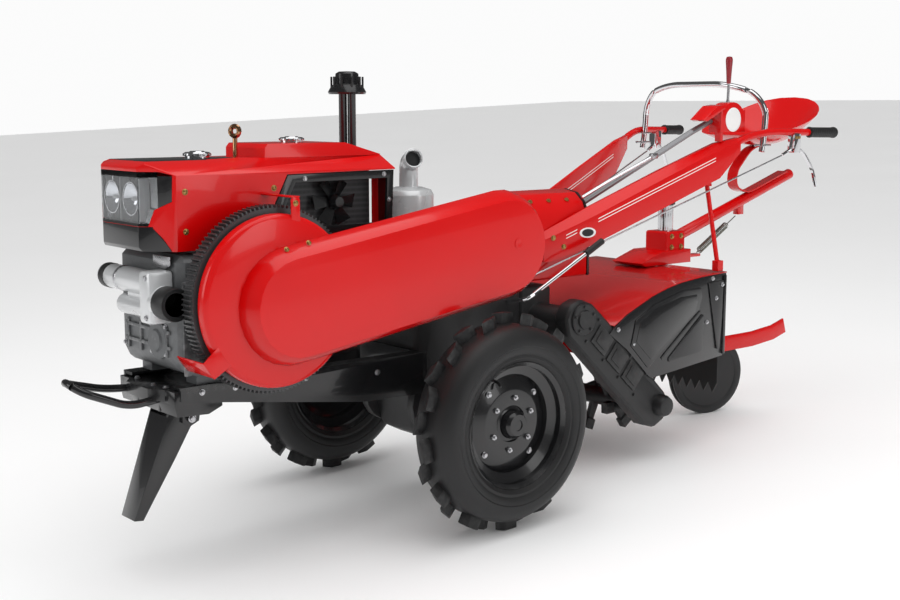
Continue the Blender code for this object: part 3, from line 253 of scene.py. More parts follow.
def ring_of(item, count):
    """Copies of item spread evenly round the X axis; the one they were made from goes."""
    copies = [twin(item, about_x(FULL * k / count)) for k in range(count)]
    bpy.data.objects.remove(item)
    return copies


def joined(items):
    pick(None)
    for item in items:
        item.select_set(True)
    bpy.context.view_layer.objects.active = items[0]
    bpy.ops.object.join()
    return bpy.context.object


def sink(item, name, look, smooth=35, stands_for=(), body="machine", level=True):
    """Sets a finished piece down in the parked stance and lets it ride on its body."""
    pick(item)
    bpy.ops.object.transform_apply(location=True, rotation=True, scale=True)
    if level:
        item.data.transform(SET_DOWN)
    item.name = name
    item.data.name = name
    item.data.materials.clear()
    item.data.materials.append(look.mat)
    pick(item)
    bpy.ops.object.shade_smooth_by_angle(angle=math.radians(smooth))
    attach(item, body)
    if stands_for:
        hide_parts(*stands_for)
    return item


def carried(item, place):
    """The same piece with its mesh carried by a matrix."""
    item.data.transform(place)
    return item


def spun(name, profile, steps, place, look, smooth=40, stands_for=()):
    """A turned piece of the machine, carried to its place and finished."""
    return sink(carried(turned(profile, steps), place), name, look, smooth, stands_for)


def round_points(count, first, radius, centre):
    """Places spread round a circle that faces sideways, the first at an angle in degrees."""
    x, y, z = centre
    angles = [math.radians(360 * k / count + first) for k in range(count)]
    return [(x, y + radius * math.cos(t), z + radius * math.sin(t)) for t in angles]


def copy_of(node_name):
    """A copy of a plain piece, free of its body, for its edges to be rounded or its surface divided."""
    node = NODES[node_name]
    item = node.copy()
    item.data = node.data.copy()
    item.parent = None
    for key in list(item.keys()):
        if key.startswith("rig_"):
            del item[key]
    bpy.context.scene.collection.objects.link(item)
    tidy(item)
    return item


# ---------------- shared shader groups ----------------
FLOAT = "NodeSocketFloat"


def shader_group(name, inputs, outputs):
    tree = bpy.data.node_groups.new(name, "ShaderNodeTree")
    for label, value in inputs.items():
        sock = tree.interface.new_socket(name=label, in_out="INPUT", socket_type=FLOAT)
        sock.default_value = value
    for label in outputs:
        tree.interface.new_socket(name=label, in_out="OUTPUT", socket_type=FLOAT)
    given = tree.nodes.new("NodeGroupInput").outputs
    result = tree.nodes.new("NodeGroupOutput").inputs
    return tree, given, result


def add(tree, kind, sockets=None, **settings):
    """Adds a node; each named or numbered socket is linked to an output or given its value."""
    node = tree.nodes.new(kind)
    for key, value in settings.items():
        setattr(node, key, value)
    for label, value in (sockets or {}).items():
        if isinstance(value, bpy.types.NodeSocket):
            tree.links.new(value, node.inputs[label])
        else:
            node.inputs[label].default_value = value
    return node


def own_place(tree):
    return add(tree, "ShaderNodeTexCoord").outputs["Object"]


def product(tree, a, b):
    return add(tree, "ShaderNodeMath", {0: a, 1: b}, operation="MULTIPLY").outputs[0]


def cloud_and_grain():
    """Broad cloudy variation and a fine grain, both 0 to 1."""
    tree, given, result = shader_group("cloud_and_grain", {"Cloud Size": 5.0, "Grain Size": 300.0},
                                       ("Cloud", "Grain"))
    place = own_place(tree)
    for label, detail in (("Cloud", 4.0), ("Grain", 2.0)):
        noise = add(tree, "ShaderNodeTexNoise", {"Vector": place, "Scale": given[label + " Size"],
                                                 "Detail": detail})
        tree.links.new(noise.outputs["Fac"], result[label])
    return tree


def edge_wear():
    """1 on sharp outer corners, broken up by noise."""
    tree, given, result = shader_group("edge_wear", {"Reach": 0.54, "Break": 60.0}, ("Wear",))
    corner = add(tree, "ShaderNodeNewGeometry").outputs["Pointiness"]
    sharp = add(tree, "ShaderNodeMapRange", {"Value": corner, "From Min": given["Reach"], "From Max": 0.64})
    noise = add(tree, "ShaderNodeTexNoise", {"Vector": own_place(tree), "Scale": given["Break"]})
    patchy = add(tree, "ShaderNodeMapRange", {"Value": noise.outputs["Fac"], "From Min": 0.42,
                                              "From Max": 0.62})
    tree.links.new(product(tree, sharp.outputs["Result"], patchy.outputs["Result"]), result["Wear"])
    return tree


def dust_veil():
    """A thin veil on faces that look up."""
    tree, given, result = shader_group("dust_veil", {"Amount": 0.10}, ("Dust",))
    normal = add(tree, "ShaderNodeNewGeometry").outputs["Normal"]
    parts = add(tree, "ShaderNodeSeparateXYZ", {0: normal})
    facing = add(tree, "ShaderNodeMapRange", {"Value": parts.outputs["Z"], "From Min": 0.2})
    noise = add(tree, "ShaderNodeTexNoise", {"Vector": own_place(tree), "Scale": 14.0, "Detail": 5.0})
    veil = product(tree, facing.outputs["Result"], noise.outputs["Fac"])
    tree.links.new(product(tree, veil, given["Amount"]), result["Dust"])
    return tree


def level_coordinates():
    """The piece's coordinates with the machine's rails level again."""
    tree, given, result = shader_group("level_coordinates", {}, ("X", "Y", "Z"))
    turned_back = add(tree, "ShaderNodeMapping", {
        "Vector": own_place(tree), "Rotation": (LEAN, 0, 0), "Location": SET_DOWN.inverted().translation})
    parts = add(tree, "ShaderNodeSeparateXYZ", {0: turned_back.outputs["Vector"]})
    for label in "XYZ":
        tree.links.new(parts.outputs[label], result[label])
    return tree


CLOUD = cloud_and_grain()
EDGE = edge_wear()
DUST = dust_veil()
LEVELLED = level_coordinates()
DUST_RGB = (0.33, 0.29, 0.24)


class Finish:
    """A Principled material built up from the shared groups."""

    def __init__(self, name, color, rough, metal=0.0, shade=0.85, vary=0.06, grain=0.02,
                 cloud_size=5.0, grain_size=400.0, coat=0.0, wear=None, dust=0.0, spec=0.5):
        self.mat = bpy.data.materials.new(name)
        self.mat.use_nodes = True
        self.tree = self.mat.node_tree
        self.bsdf = self.tree.nodes["Principled BSDF"]
        self.bsdf.inputs["Metallic"].default_value = metal
        self.bsdf.inputs["Coat Weight"].default_value = coat
        self.bsdf.inputs["Coat Roughness"].default_value = 0.04
        self.bsdf.inputs["Specular IOR Level"].default_value = spec
        cloud = self.group(CLOUD, {"Cloud Size": cloud_size, "Grain Size": grain_size})
        dark = [c * shade for c in color]
        self.color = self.mix(cloud["Cloud"], (*dark, 1), (*color, 1))
        if dust:
            self.color = self.mix(self.group(DUST, {"Amount": dust})["Dust"], self.color, (*DUST_RGB, 1))
        if wear:
            self.color = self.mix(self.group(EDGE)["Wear"], self.color, (*wear, 1))
        self.tree.links.new(self.color, self.bsdf.inputs["Base Color"])
        span = add(self.tree, "ShaderNodeMapRange",
                   {"Value": cloud["Cloud"], "To Min": max(0.02, rough - vary),
                                                     "To Max": rough + vary})
        self.tree.links.new(span.outputs["Result"], self.bsdf.inputs["Roughness"])
        bump = add(self.tree, "ShaderNodeBump",
                   {"Height": cloud["Grain"], "Strength": grain, "Distance": 0.001})
        self.tree.links.new(bump.outputs["Normal"], self.bsdf.inputs["Normal"])

    def group(self, shared, values=None):
        return add(self.tree, "ShaderNodeGroup", values, node_tree=shared).outputs

    def mix(self, share, low, high):
        return add(self.tree, "ShaderNodeMix", {0: share, 6: low, 7: high}, data_type="RGBA").outputs[2]

    def math(self, kind, a, b=0.0, c=0.0):
        return add(self.tree, "ShaderNodeMath", {0: a, 1: b, 2: c}, operation=kind).outputs[0]

    def both(self, a, b):
        return self.math("MULTIPLY", a, b)

    def level(self):
        out = self.group(LEVELLED)
        return out["X"], out["Y"], out["Z"]

    def recolor(self, mask, color):
        """Paints the masked part in another colour."""
        self.color = self.mix(mask, self.color, (*color, 1))
        self.tree.links.new(self.color, self.bsdf.inputs["Base Color"])



# ---------------- finishes ----------------
RED_RGB = (0.60, 0.0012, 0.0016)
GLOSS = {"shade": 0.90, "vary": 0.04, "grain": 0.015, "coat": 0.25, "spec": 0.35}
WHITE_PAINT = {"metal": 0.35, "shade": 0.88, "vary": 0.05, "grain": 0.03, "grain_size": 220, "coat": 0.3}
SILVER_RGB = (0.66, 0.67, 0.68)
DARK = (0.010, 0.010, 0.011)
red = Finish("red enamel", RED_RGB, 0.20, grain_size=160, **GLOSS)
red_hood = Finish("red enamel, hood", RED_RGB, 0.20, grain_size=160, **GLOSS)
red_beam = Finish("red enamel, striped beam", RED_RGB, 0.20, **GLOSS)
red_tiller = Finish("red enamel, tiller hood", (0.52, 0.003, 0.004), 0.24, vary=0.05, grain=0.03,
                    grain_size=120,
                    coat=0.5, dust=0.04)
knob_red = Finish("dark red knob", (0.25, 0.006, 0.014), 0.32, grain=0.01, coat=0.4)
black = Finish("gloss black enamel", DARK, 0.24, shade=0.7, vary=0.07, grain=0.03, grain_size=180,
               coat=0.35,
               wear=(0.03, 0.03, 0.03), dust=0.01)
satin = Finish("satin black", (0.014, 0.014, 0.015), 0.42, shade=0.7, vary=0.08, grain=0.08, dust=0.03)
cast = Finish("black painted casting", (0.016, 0.016, 0.017), 0.46, shade=0.6, vary=0.10, grain=0.30,
              cloud_size=14, grain_size=420, wear=(0.04, 0.04, 0.04), dust=0.01)
engine_grey = Finish("grey painted casting", (0.13, 0.135, 0.14), 0.45, metal=0.2, shade=0.65, vary=0.10,
                     grain=0.32, cloud_size=12, grain_size=380, wear=(0.40, 0.40, 0.40), dust=0.05)
ring_steel = Finish("oiled ring gear steel", (0.085, 0.085, 0.088), 0.38, metal=0.55, shade=0.75,
                    grain=0.06,
                    dust=0.02)
zinc = Finish("zinc plated steel", (0.60, 0.60, 0.62), 0.28, metal=0.95, shade=0.75, vary=0.10, grain=0.05,
              cloud_size=30)
steel = Finish("grey steel tube", (0.30, 0.30, 0.31), 0.32, metal=0.8, shade=0.7, vary=0.10, grain=0.05,
               cloud_size=20)
chrome = Finish("chrome", (0.78, 0.78, 0.80), 0.07, metal=1.0, shade=0.9, vary=0.03, grain=0.008)
brass = Finish("yellow zinc bolt", (0.52, 0.34, 0.12), 0.28, metal=0.9, shade=0.7, vary=0.08, grain=0.05,
               cloud_size=40)
copper = Finish("coppery eye", (0.60, 0.33, 0.17), 0.18, metal=1.0, shade=0.8, vary=0.05)
silver = Finish("silver-white paint", SILVER_RGB, 0.28, **WHITE_PAINT)
silver_can = Finish("silver-white paint, banded can", SILVER_RGB, 0.28, **WHITE_PAINT)
core = Finish("radiator core", (0.020, 0.020, 0.021), 0.45, metal=0.4, shade=0.7, vary=0.08, grain=0.10)
tyre = Finish("tyre rubber", (0.013, 0.013, 0.014), 0.50, shade=0.65, vary=0.08, grain=0.20, cloud_size=9,
              grain_size=260, wear=(0.06, 0.06, 0.06), dust=0.03, spec=0.45)
rubber = Finish("moulded black rubber", (0.014, 0.014, 0.015), 0.50, shade=0.7, vary=0.08, grain=0.15,
                dust=0.03)
curtain = Finish("curtain rubber", (0.012, 0.012, 0.012), 0.58, shade=0.7, vary=0.08, grain=0.2, dust=0.03)
belt = Finish("belt rubber", (0.016, 0.016, 0.016), 0.70, shade=0.7, vary=0.08, grain=0.25, dust=0.03)
spring = Finish("oiled spring steel", (0.24, 0.24, 0.20), 0.35, metal=0.8, shade=0.7, vary=0.08, grain=0.05)
white_face = Finish("white console face", (0.80, 0.79, 0.78), 0.14, shade=0.93, vary=0.04, grain=0.01,
                    coat=0.6)
mirror = Finish("reflector", (0.86, 0.86, 0.88), 0.05, metal=1.0, shade=0.92, vary=0.02, grain=0.01)
glass = Finish("clear lamp lens", (0.93, 0.95, 0.97), 0.05, vary=0.02, grain=0.03, grain_size=60)


def lens_look(look):
    """A clear pane with a dark rim above and below."""
    look.bsdf.inputs["Transmission Weight"].default_value = 0.92
    look.bsdf.inputs["IOR"].default_value = 1.25
    x, y, z = look.level()
    low_rim = look.math("LESS_THAN", z, 0.8960)
    high_rim = look.math("GREATER_THAN", z, 1.0100)
    look.recolor(look.math("MAXIMUM", low_rim, high_rim), DARK)


def can_look(look):
    """The dark band at the foot of the air cleaner."""
    x, y, z = look.level()
    look.recolor(look.math("LESS_THAN", z, 0.846), (0.05, 0.05, 0.05))


def core_look(look):
    """The radiator's fins as fine lines."""
    x, y, z = look.level()
    wave = look.math("SINE", look.both(y, 1500.0))
    rows = look.math("SINE", look.both(z, 420.0))
    lines = look.math("MULTIPLY_ADD", look.math("MAXIMUM", wave, rows), 0.5, 0.5)
    look.recolor(look.both(lines, 0.7), (0.11, 0.11, 0.115))


def hood_look(look):
    """The dark strip on the hood's top, wide at the front lip and narrowing towards the tank."""
    x, y, z = look.level()
    side = look.math("ABSOLUTE", x)
    wide = look.both(look.math("LESS_THAN", side, 0.088), look.math("LESS_THAN", y, -0.690))
    taper = look.math("MULTIPLY_ADD", y, -0.55, -0.303)
    narrow = look.both(look.math("LESS_THAN", side, taper), look.math("LESS_THAN", y, -0.600))
    on_top = look.math("GREATER_THAN", z, 1.0488)
    look.recolor(look.both(look.math("MAXIMUM", wide, narrow), on_top), (0.012, 0.012, 0.013))


def beam_look(look):
    """Two thin white lines along the handlebar beams, broken off at the oval hole."""
    x, y, z = look.level()
    below_edge = look.math("SUBTRACT", look.math("MULTIPLY_ADD", y, 0.394, 0.600), z)
    lines = []
    for middle in (0.024, 0.034):
        gap = look.math("ABSOLUTE", look.math("SUBTRACT", below_edge, middle))
        lines.append(look.math("LESS_THAN", gap, 0.0014))
    span = look.both(look.math("GREATER_THAN", y, 0.520), look.math("LESS_THAN", y, 1.110))
    from_hole = look.math("ABSOLUTE", look.math("SUBTRACT", y, BEAM_HOLE[0]))
    shown = look.both(span, look.math("GREATER_THAN", from_hole, 0.040))
    look.recolor(look.both(look.math("MAXIMUM", *lines), shown), (0.80, 0.78, 0.76))


lens_look(glass)
can_look(silver_can)
core_look(core)
hood_look(red_hood)
beam_look(red_beam)

SLOT_FINISH = {
    "red_paint": red, "black_paint": black, "cast_black": cast, "engine_grey": engine_grey, "steel": steel,
    "chrome": chrome, "silver_can": silver, "copper_eye": copper, "tyre_rubber": tyre,
    "grip_rubber": rubber,
    "lamp_lens": glass, "belt_rubber": belt, "spring_steel": spring}
OWN_FINISH = {
    "hood": red_hood, "handlebar_left": red_beam, "handlebar_right": red_beam, "tiller_hood": red_tiller,
    "rear_curtain": curtain, "air_cleaner": silver_can, "radiator": core, "steer_rod_left": zinc,
    "steer_rod_right": zinc}


def look_of(node_name):
    return OWN_FINISH.get(node_name) or SLOT_FINISH[SLOT_OF[node_name]]


for node_name, node in NODES.items():
    node.data.materials.clear()
    node.data.materials.append(look_of(node_name).mat)


# ---------------- plain pieces with their edges rounded ----------------
def rounded(node_name, width, segs):
    """A copy of a sheet or casting with its edges rounded over, standing for the plain one."""
    item = copy_of(node_name)
    bevel(item, width, segs, 28)
    sink(item, node_name + "_rounded", look_of(node_name), 35, (node_name,),
         BODY_OF[node_name], level=False)


for node_name, width, segs in (
        ("hood", 0.0035, 3), ("hood_lower_nose", 0.0030, 2), ("belt_guard", 0.0040, 3),
        ("frame", 0.0016, 1), ("gearbox", 0.0040, 2), ("engine_block", 0.0040, 2),
        ("starter_motor", 0.0020, 2), ("front_stand", 0.0020, 2), ("chain_case", 0.0030, 2),
        ("tiller_gearbox", 0.0030, 2), ("handlebar_bracket", 0.0030, 2), ("handlebar_left", 0.0040, 3),
        ("handlebar_right", 0.0040, 3), ("column_clamp", 0.0025, 2), ("tail_fork", 0.0015, 2),
        ("rotor", 0.0020, 1), ("pan_post", 0.0010, 1), ("air_cleaner", 0.0030, 2),
        ("exhaust_pipe", 0.0012, 2), ("shift_console", 0.0040, 3), ("tiller_hood", 0.0010, 1),
        ("tiller_shield_right", 0.0012, 1), ("radiator_screen", 0.0012, 2),
        ("squeeze_lever_left", 0.0008, 1), ("squeeze_lever_right", 0.0008, 1), ("rear_strut", 0.0010, 1)):
    rounded(node_name, width, segs)


# ---------------- fastenings, each kind made once ----------------
def six_sided(depth, centre_x):
    pick(None)
    bpy.ops.mesh.primitive_cylinder_add(vertices=6, radius=1.0, depth=depth, location=(centre_x, 0, 0),
                                        rotation=(0, FULL / 4, 0))
    item = bpy.context.object
    bpy.ops.object.transform_apply(location=True, rotation=True, scale=True)
    return item


def hex_head():
    """A flanged hexagon head, one unit in radius, a little domed."""
    head = six_sided(0.62, 0.56)
    edit(head)
    pick_faces(head, lambda face: face.normal.x > 0.9)
    bpy.ops.mesh.inset(thickness=0.16)
    bpy.ops.transform.translate(value=(0.08, 0, 0))
    leave()
    bevel(head, 0.06, 1, 30)
    washer = turned([(0.50, 0.0), (1.38, 0.0), (1.38, 0.20), (1.28, 0.26), (0.50, 0.26)], 20)
    return joined([head, washer])


def nut_on_stud():
    nut = six_sided(0.8, 0.4)
    bevel(nut, 0.07, 1, 30)
    stud = turned([(0.0, 0.7), (0.52, 0.7), (0.52, 1.35), (0.42, 1.46), (0.0, 1.46)], 14)
    return joined([nut, stud])


HEX = hex_head()
ROUND_HEAD = turned([(0.0, 0.0), (1.30, 0.0), (1.30, 0.18), (1.05, 0.20), (0.98, 0.48), (0.70, 0.70),
                     (0.34, 0.76), (0.30, 0.56), (0.0, 0.56)], 18)
NUT = nut_on_stud()
HEAD_TURN = math.radians(17)


def fasten(kind, name, places, axis, radius, look, body="machine"):
    """Copies of one fastening, radius wide, at each place, heads along axis, each turned a little."""
    for k, place in enumerate(places):
        spin = about_x(HEAD_TURN * (k * 3 % 7))
        fixed = twin(kind, aim(place, axis) @ spin @ Matrix.Scale(radius, 4))
        label = name if len(places) == 1 else name + "_" + str(k + 1)
        sink(fixed, label, look, 30, (), body)


# ---------------- wheels and tyres ----------------
def lug_bar(half, step):
    """One bar drawn out from the middle line to the shoulder, a slot pressed into its end."""
    sweep = 0.40 * step
    marks = [(0.004, sweep * 1.50, 0.085, 0.262, 0.3088), (0.022, sweep * 1.06, 0.085, 0.262, 0.3096),
             (0.040, sweep * 0.60, 0.086, 0.262, 0.3094), (0.060, sweep * 0.20, 0.096, 0.256, 0.3082),
             (half - 0.006, -sweep * 0.10, 0.108, 0.240, 0.3050),
             (half - 0.001, -sweep * 0.15, 0.112, 0.232, 0.2960)]

    def corners(mark):
        x, middle, wide, low, high = mark
        spots = []
        for off, radius in ((-wide, low), (-wide * 0.78, high), (wide * 0.78, high), (wide, low)):
            spots.append(Vector((x, radius * math.sin(middle + off), radius * math.cos(middle + off))))
        return spots

    pick(None)
    bpy.ops.mesh.primitive_cube_add(size=0.02, location=(0.010, 0, 0.29))
    bar = bpy.context.object
    bpy.ops.object.transform_apply(location=True, rotation=True, scale=True)
    edit(bar)
    keep_faces(bar, lambda face: face.normal.x > 0.9)
    for mark in marks[2:]:
        bpy.ops.mesh.extrude_region_move(TRANSFORM_OT_translate={"value": (0.02, 0, 0)})
    shape = bmesh.from_edit_mesh(bar.data)
    for vert in shape.verts:
        goal = corners(marks[round(vert.co.x / 0.02)])
        left = vert.co.y < 0
        high = vert.co.z > 0.29
        vert.co = goal[(1 if high else 0) if left else (2 if high else 3)]
    bmesh.update_edit_mesh(bar.data)
    bpy.ops.mesh.select_all(action="SELECT")
    bpy.ops.mesh.normals_make_consistent(inside=False)
    pick_faces(bar, lambda face: face.normal.x > 0.55 and face.calc_center_median().x > half - 0.012)
    bpy.ops.mesh.inset(thickness=0.0075)
    bpy.ops.transform.translate(value=(-0.004, 0, 0))
    leave()
    bevel(bar, 0.0022, 2, 30)
    return bar


def tyre_piece():
    """A ribbed sidewall and carcass with lugs sweeping out to both shoulders by turns."""
    crown = 0.274
    bead = 0.172
    side = [(bead, 0.050), (bead + 0.006, 0.062), (0.192, 0.0715), (0.200, 0.0705), (0.203, 0.0735),
            (0.214, 0.0775), (0.222, 0.0775), (0.225, 0.0800), (0.238, 0.0795), (0.252, 0.0740),
            (0.264, 0.0640), (crown, 0.0500), (crown + 0.003, 0.0250), (crown + 0.004, 0.0)]
    inside = [(bead, -0.036), (0.205, -0.058), (0.256, -0.042), (0.256, 0.042), (0.205, 0.058),
              (bead, 0.036)]
    other_side = [(r, -x) for r, x in reversed(side[:-1])]
    base = turned(side + other_side + inside, 104)
    step = FULL / LUGS
    bar = lug_bar(0.0825, step)
    flipped = twin(bar, MIRROR)
    tidy(flipped)
    parts = [base]
    for k in range(LUGS):
        parts.append(twin(bar, about_x(-step * k)))
        parts.append(twin(flipped, about_x(-step * (k + 0.5))))
    bpy.data.objects.remove(bar)
    bpy.data.objects.remove(flipped)
    return joined(parts)


def wheel_piece(s):
    """A pressed rim with its disc and hub; s is 1 on the left and -1 on the right."""
    lip = 0.182
    seat = 0.1714
    well = seat - 0.005
    outer = [(lip, 0.062), (lip - 0.003, 0.0595), (seat, 0.052), (seat, 0.034), (0.146, 0.025),
             (0.144, 0.022)]
    outer += [(r, -x) for r, x in reversed(outer)]
    inner = [(lip - 0.004, -0.065), (well, -0.0555), (well, -0.0375), (0.140, -0.027), (0.140, 0.001),
             (0.132, 0.007), (0.098, 0.025), (0.060, 0.026), (0.052, 0.026), (0.052, 0.031), (0.094, 0.031),
             (0.100, 0.030), (0.134, 0.013), (0.1395, 0.011), (0.140, 0.027), (well, 0.0375),
             (well, 0.0555), (lip - 0.004, 0.065)]
    deep = -(TRACK / 2 - 0.290)
    hub = [(0, deep), (0.034, deep), (0.034, 0.005), (0.088, 0.005), (0.088, 0.0240), (0.085, 0.0270),
           (0.048, 0.0270), (0.042, 0.030), (0.040, 0.048), (0.036, 0.054), (0.030, 0.060), (0.016, 0.060),
           (0.015, 0.057), (0, 0.057)]
    rim = turned([(r, x * s) for r, x in outer + inner], 96)
    return joined([rim, turned([(r, x * s) for r, x in hub], 48)])


for label, s in BOTH_SIDES:
    centre = Matrix.Translation((s * TRACK / 2, 0, AXLE_Z))
    body = label + "_wheel"
    sink(carried(tyre_piece(), centre), "tyre_with_lugs_" + label, tyre, 32,
         ("tyre_" + label,), body)
    sink(carried(wheel_piece(s), centre), "dished_rim_" + label, black, 30,
         ("wheel_" + label,), body)
    out = (s, 0, 0)
    fasten(NUT, "wheel_nut_" + label, round_points(6, 22, 0.074, (s * (TRACK / 2 + 0.0312), 0, AXLE_Z)),
           out, 0.0085, zinc, body)
    fasten(HEX, "rim_bolt_" + label, round_points(4, 40, 0.1185, (s * (TRACK / 2 + 0.0215), 0, AXLE_Z)),
           out, 0.0070, zinc, body)
    foot = Vector(round_points(1, 112, 0.134, (s * (TRACK / 2 + 0.012), 0, AXLE_Z))[0])
    valve = tubing([foot, foot + Vector((s * 0.016, 0, 0)), foot + Vector((s * 0.034, -0.004, -0.010))],
                   0.0038, 12, 0.006)
    sink(valve, "valve_stem_" + label, rubber, 40, (), body)

# ---------------- flywheel, ring gear and guard pan ----------------
disc = turned([(0, 0.225), (0.072, 0.225), (0.076, 0.242), (0.196, 0.242), (0.200, 0.225), (0.2345, 0.225),
               (0.2345, 0.272), (0.204, 0.272), (0.198, 0.256), (0.080, 0.256), (0.075, PULLEY_X0),
               (0.040, PULLEY_X0), (0, PULLEY_X0)], 110)
tooth = plain_block((0.2485, 0, 0.2375), (0.040, 0.0062, 0.0085))
edit(tooth)
keep_faces(tooth, lambda face: face.normal.z > 0.9)
bpy.ops.transform.resize(value=(0.96, 0.55, 1))
leave()
grooves = [(0.0, 0.3120), (0.085, 0.3120)]
pitch = (PULLEY_X1 - PULLEY_X0) / 3
for k in range(3):
    mid = PULLEY_X0 + pitch * (k + 0.5)
    grooves += [(0.085, mid - 0.0060), (0.075, mid - 0.001), (0.075, mid + 0.001), (0.085, mid + 0.0060)]
grooves += [(0.085, PULLEY_X1), (0.030, PULLEY_X1), (0.030, 0.345), (0.0, 0.345)]
gear = joined([disc, *ring_of(tooth, TEETH), turned(grooves, 48)])
sink(carried(gear, Matrix.Translation((0, CRANK_Y, CRANK_Z))), "flywheel_with_ring_gear", ring_steel,
     30, ("flywheel",), "flywheel_body")

pan_ring = turned([(0.100, 0.309), (0.100, 0.312), (PAN_R - 0.016, 0.312), (PAN_R - 0.008, 0.3095),
                   (PAN_R - 0.002, 0.304), (PAN_R, 0.297), (PAN_R, 0.282), (PAN_R - 0.003, 0.282),
                   (PAN_R - 0.003, 0.296), (PAN_R - 0.010, 0.305), (PAN_R - 0.017, 0.309)], 120)
carried(pan_ring, Matrix.Translation((0, PAN_Y, CRANK_Z)))
strap = sheet([(0.308, -0.616, 0.860), (0.308, -0.616, 0.952), (0.308, -0.611, 0.960),
               (0.308, -0.595, 0.960), (0.308, -0.590, 0.952), (0.308, -0.590, 0.860)], (0.0035, 0, 0),
               0.0008)
shelf = block((0.241, -0.603, 0.9595), (0.141, 0.026, 0.0036), 0.0008)
down = Vector((0, -0.812, -0.583))
over = Vector((0, 0.583, -0.812))
tab_at = Vector((0.3085, PAN_Y, CRANK_Z))
tab = sheet([tab_at + down * 0.195 + over * 0.032, tab_at + down * 0.262 + over * 0.026,
             tab_at + down * 0.262 - over * 0.026, tab_at + down * 0.195 - over * 0.032], (0.003, 0, 0),
             0.0008)
leg_at = Vector((0.176, PAN_Y, CRANK_Z))
leg = sheet([leg_at + down * 0.2578 + over * 0.024, leg_at + down * 0.2614 + over * 0.024,
             leg_at + down * 0.2614 - over * 0.024, leg_at + down * 0.2578 - over * 0.024],
            (0.134, 0, 0), 0.0006)
pan = joined([pan_ring, strap, shelf, tab, leg])
sink(pan, "pressed_guard_pan", red, 30, ("guard_pan",))

fasten(ROUND_HEAD, "guard_screw", [(0.3345, -0.6468, 0.8315), (0.3345, -0.5810, 0.8440)],
       (1, -0.1, 0.6), 0.0052, brass)
fasten(ROUND_HEAD, "strap_screw", [(0.3112, -0.603, 0.9435)], LEFT_OUT, 0.0060, brass)
spun("guard_end_boss", [(0.0, 0.0), (0.016, 0.0), (0.0165, 0.0012), (0.010, 0.0016), (0.004, 0.0004),
                        (0.0, 0.0004)], 32, Matrix.Translation((0.3650, 0.1130, 0.7990)), red)

# ---------------- hood dress: lamp, caps, screws ----------------
for k, x in enumerate((-0.052, 0.052)):
    spun("lamp_bowl_" + str(k + 1), [(0.0, 0.012), (0.010, 0.0105), (0.022, 0.0055), (0.033, -0.004),
                                     (0.040, -0.014), (0.0425, -0.014), (0.0425, -0.011), (0.035, -0.001),
                                     (0.023, 0.009), (0.0, 0.0145)],
         40, aim((x, -0.9065, 0.955), BACKWARD), mirror)
    spun("lamp_bulb_" + str(k + 1), [(0.0, -0.012), (0.004, -0.0105), (0.0058, -0.006), (0.0058, 0.004),
                                     (0.0, 0.004)],
         20, aim((x, -0.9050, 0.955), BACKWARD), white_face)

for label, place, radius, high in (("fuel", (0.0, -0.705, 1.0504), 0.038, 0.018),
                                   ("radiator", (0.0, -0.410, 1.0864), 0.036, 0.016)):
    profile = [(0.0, 0.0), (0.86, 0.0), (0.86, 0.30), (0.93, 0.34), (0.93, 0.66), (0.84, 0.84),
               (0.52, 0.90), (0.48, 1.0), (0.0, 1.0)]
    lid = turned([(radius * out, high * up) for out, up in profile], 48)
    flute = block((high * 0.50, 0, radius * 0.915), (high * 0.38, radius * 0.16, radius * 0.15),
                  radius * 0.035)
    lid = joined([lid, *ring_of(flute, 16)])
    sink(carried(lid, aim(place, TOP)), "fluted_" + label + "_cap", chrome, 35, (label + "_cap",))

for name, s, out in (("hood_screw", 1, LEFT_OUT), ("hood_screw_far", -1, RIGHT_OUT)):
    spots = [(s * 0.1700, y, z) for y, z in ((-0.836, 0.9742), (-0.836, 0.8747), (-0.577, 0.974))]
    fasten(ROUND_HEAD, name, spots, out, 0.0062, brass)
fasten(HEX, "screen_bolt", [(0.1680, -0.4788, 0.9950), (0.1680, -0.2171, 0.9990), (0.1680, -0.2000, 0.9276),
                            (0.1680, -0.5690, 0.8740)], LEFT_OUT, 0.0050, zinc)


# ---------------- lamp surround, panel behind the core ----------------
surround = sheet([(0.1366, -0.8932, 0.9345), (0.1615, -0.8683, 0.9510), (0.1630, -0.8668, 1.0130),
                  (0.1366, -0.8932, 1.0145)], (-0.0016, 0.0016, 0), 0.0004)
other = twin(surround, MIRROR)
tidy(other)
sink(joined([surround, other]), "lamp_surround", black, 30)
board = block((0.0, -0.8920, 0.953), (0.268, 0.0016, 0.122), 0.0005)
sink(board, "lamp_back_board", satin, 30)
frame_bits = [block((x, -0.9100, 0.953), (0.0030, 0.030, 0.108), 0.0008) for x in (-0.100, 0.0, 0.100)]
sink(joined(frame_bits), "lamp_divider", silver, 30)
side_panel = block((0.104, -0.200, 0.922), (0.004, 0.026, 0.158), 0.001)
sink(side_panel, "core_side_panel", red_tiller, 30)

